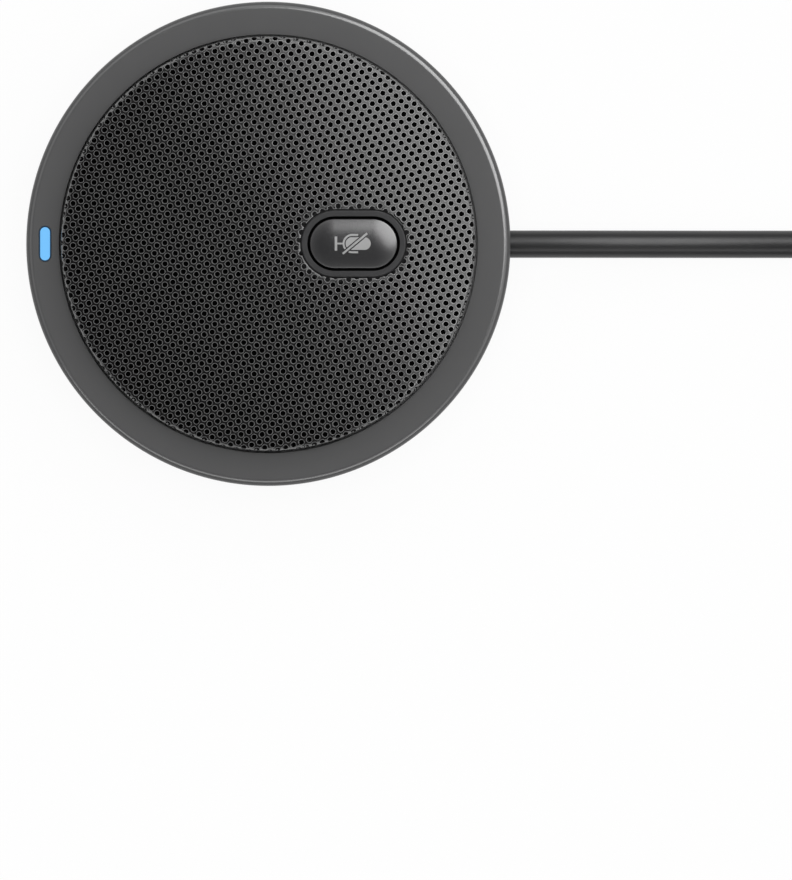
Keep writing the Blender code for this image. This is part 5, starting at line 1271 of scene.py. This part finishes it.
# %% Light the studio
TENT = ((0.0, 0.20), (0.34, 0.25), (0.5, 0.9), (0.76, 0.9), (0.88, 0.06), (1.0, 0.03))
BRIGHTER_TOWARDS = (0.45, 0.55, 0.0)
world = bpy.data.worlds.new("studio")
bpy.context.scene.world = world
world.use_nodes = True
tree = world.node_tree
tree.nodes.clear()
way = tree.nodes.new("ShaderNodeTexCoord").outputs["Generated"]
parts = added(tree, "ShaderNodeSeparateXYZ", {"Vector": way})
tent = added(tree, "ShaderNodeValToRGB", {"Fac": parts.outputs["Z"]})
while len(tent.color_ramp.elements) < len(TENT):
    tent.color_ramp.elements.new(0.5)
for element, (height, strength) in zip(tent.color_ramp.elements, TENT):
    element.position = height
    element.color = (strength, strength, strength, 1.0)
lean = added(tree, "ShaderNodeVectorMath", {0: way, 1: BRIGHTER_TOWARDS}, "DOT_PRODUCT")
level = added(tree, "ShaderNodeMath", {0: lean.outputs["Value"], 1: 1.0}, "ADD")
scaled = {0: tent.outputs["Color"], "Scale": level.outputs[0]}
tent_colour = added(tree, "ShaderNodeVectorMath", scaled, "SCALE")
glow = added(tree, "ShaderNodeBackground", {"Color": tent_colour.outputs[0]})
white_sky = added(tree, "ShaderNodeBackground", {"Color": (1.0, 1.0, 1.0, 1.0)})
camera_ray = tree.nodes.new("ShaderNodeLightPath").outputs["Is Camera Ray"]
skies = {0: camera_ray, 1: glow.outputs[0], 2: white_sky.outputs[0]}
sky = added(tree, "ShaderNodeMixShader", skies)
added(tree, "ShaderNodeOutputWorld", {"Surface": sky.outputs[0]})
print("The tent's light has", len(TENT), "steps from below to overhead")

# %% [markdown]
# Four soft boxes stand in the tent, each with one task, as in a product photographer's studio. One
# overhead lights the colours evenly and shows in no reflection. The other three show only in
# reflections. A bright one draws the highlights on the cap and along the ring, and a low one in
# front draws a second, weaker highlight on the ring, the cap and the cord. A near one is flagged
# off everything but the grille, and its edge makes the light run across the sheet from one side.


# %% Set up the soft boxes
def soft_box(name, place, size, power, aim=None, turn=0.0):
    """A rectangular soft light that looks at a point, or straight down and turned by an angle."""
    data = bpy.data.lights.new(name, "AREA")
    data.shape = "RECTANGLE"
    data.size, data.size_y = size
    data.energy = power
    lamp = in_scene(name, data)
    lamp.location = place
    lamp.rotation_euler = (0.0, 0.0, turn)
    if aim:
        lamp.rotation_euler = (Vector(aim) - Vector(place)).to_track_quat("-Z", "Y").to_euler()
    lamp.visible_camera = False
    return lamp


def flag(lamp, pieces, state):
    """Keeps a light off some pieces, or on them alone."""
    group = bpy.data.collections.new(lamp.name + "_flag")
    lamp.light_linking.receiver_collection = group
    for piece in pieces:
        group.objects.link(piece)
    for entry in group.collection_objects:
        entry.light_linking.link_state = state


BODY_TOP = (0.0, 0.0, RING_TOP)
overhead = soft_box("overhead", (0.04, 0.02, 1.20), (0.8, 0.8), 8.1, aim=BODY_TOP)
overhead.visible_glossy = False
bright = soft_box("bright", (0.281, 0.236, 0.502), (0.52, 0.45), 3.43, aim=BODY_TOP)
low = soft_box("low", (-0.05, -0.48, 0.37), (1.2, 0.16), 1.3, aim=BODY_TOP)
near = soft_box("near", (0.1305, 0.0608, 0.22), (0.25, 0.36), 1.08, turn=math.radians(25))
for lamp, state in ((bright, "EXCLUDE"), (low, "EXCLUDE"), (near, "INCLUDE")):
    lamp.visible_diffuse = False
    flag(lamp, (grille_face, grille_edge), state)
print("Soft boxes:", [lamp.name for lamp in (overhead, bright, low, near)])

# %% [markdown]
# ## The view
# Last, the scene is set to the Standard view transform.

bpy.context.scene.view_settings.view_transform = "Standard"
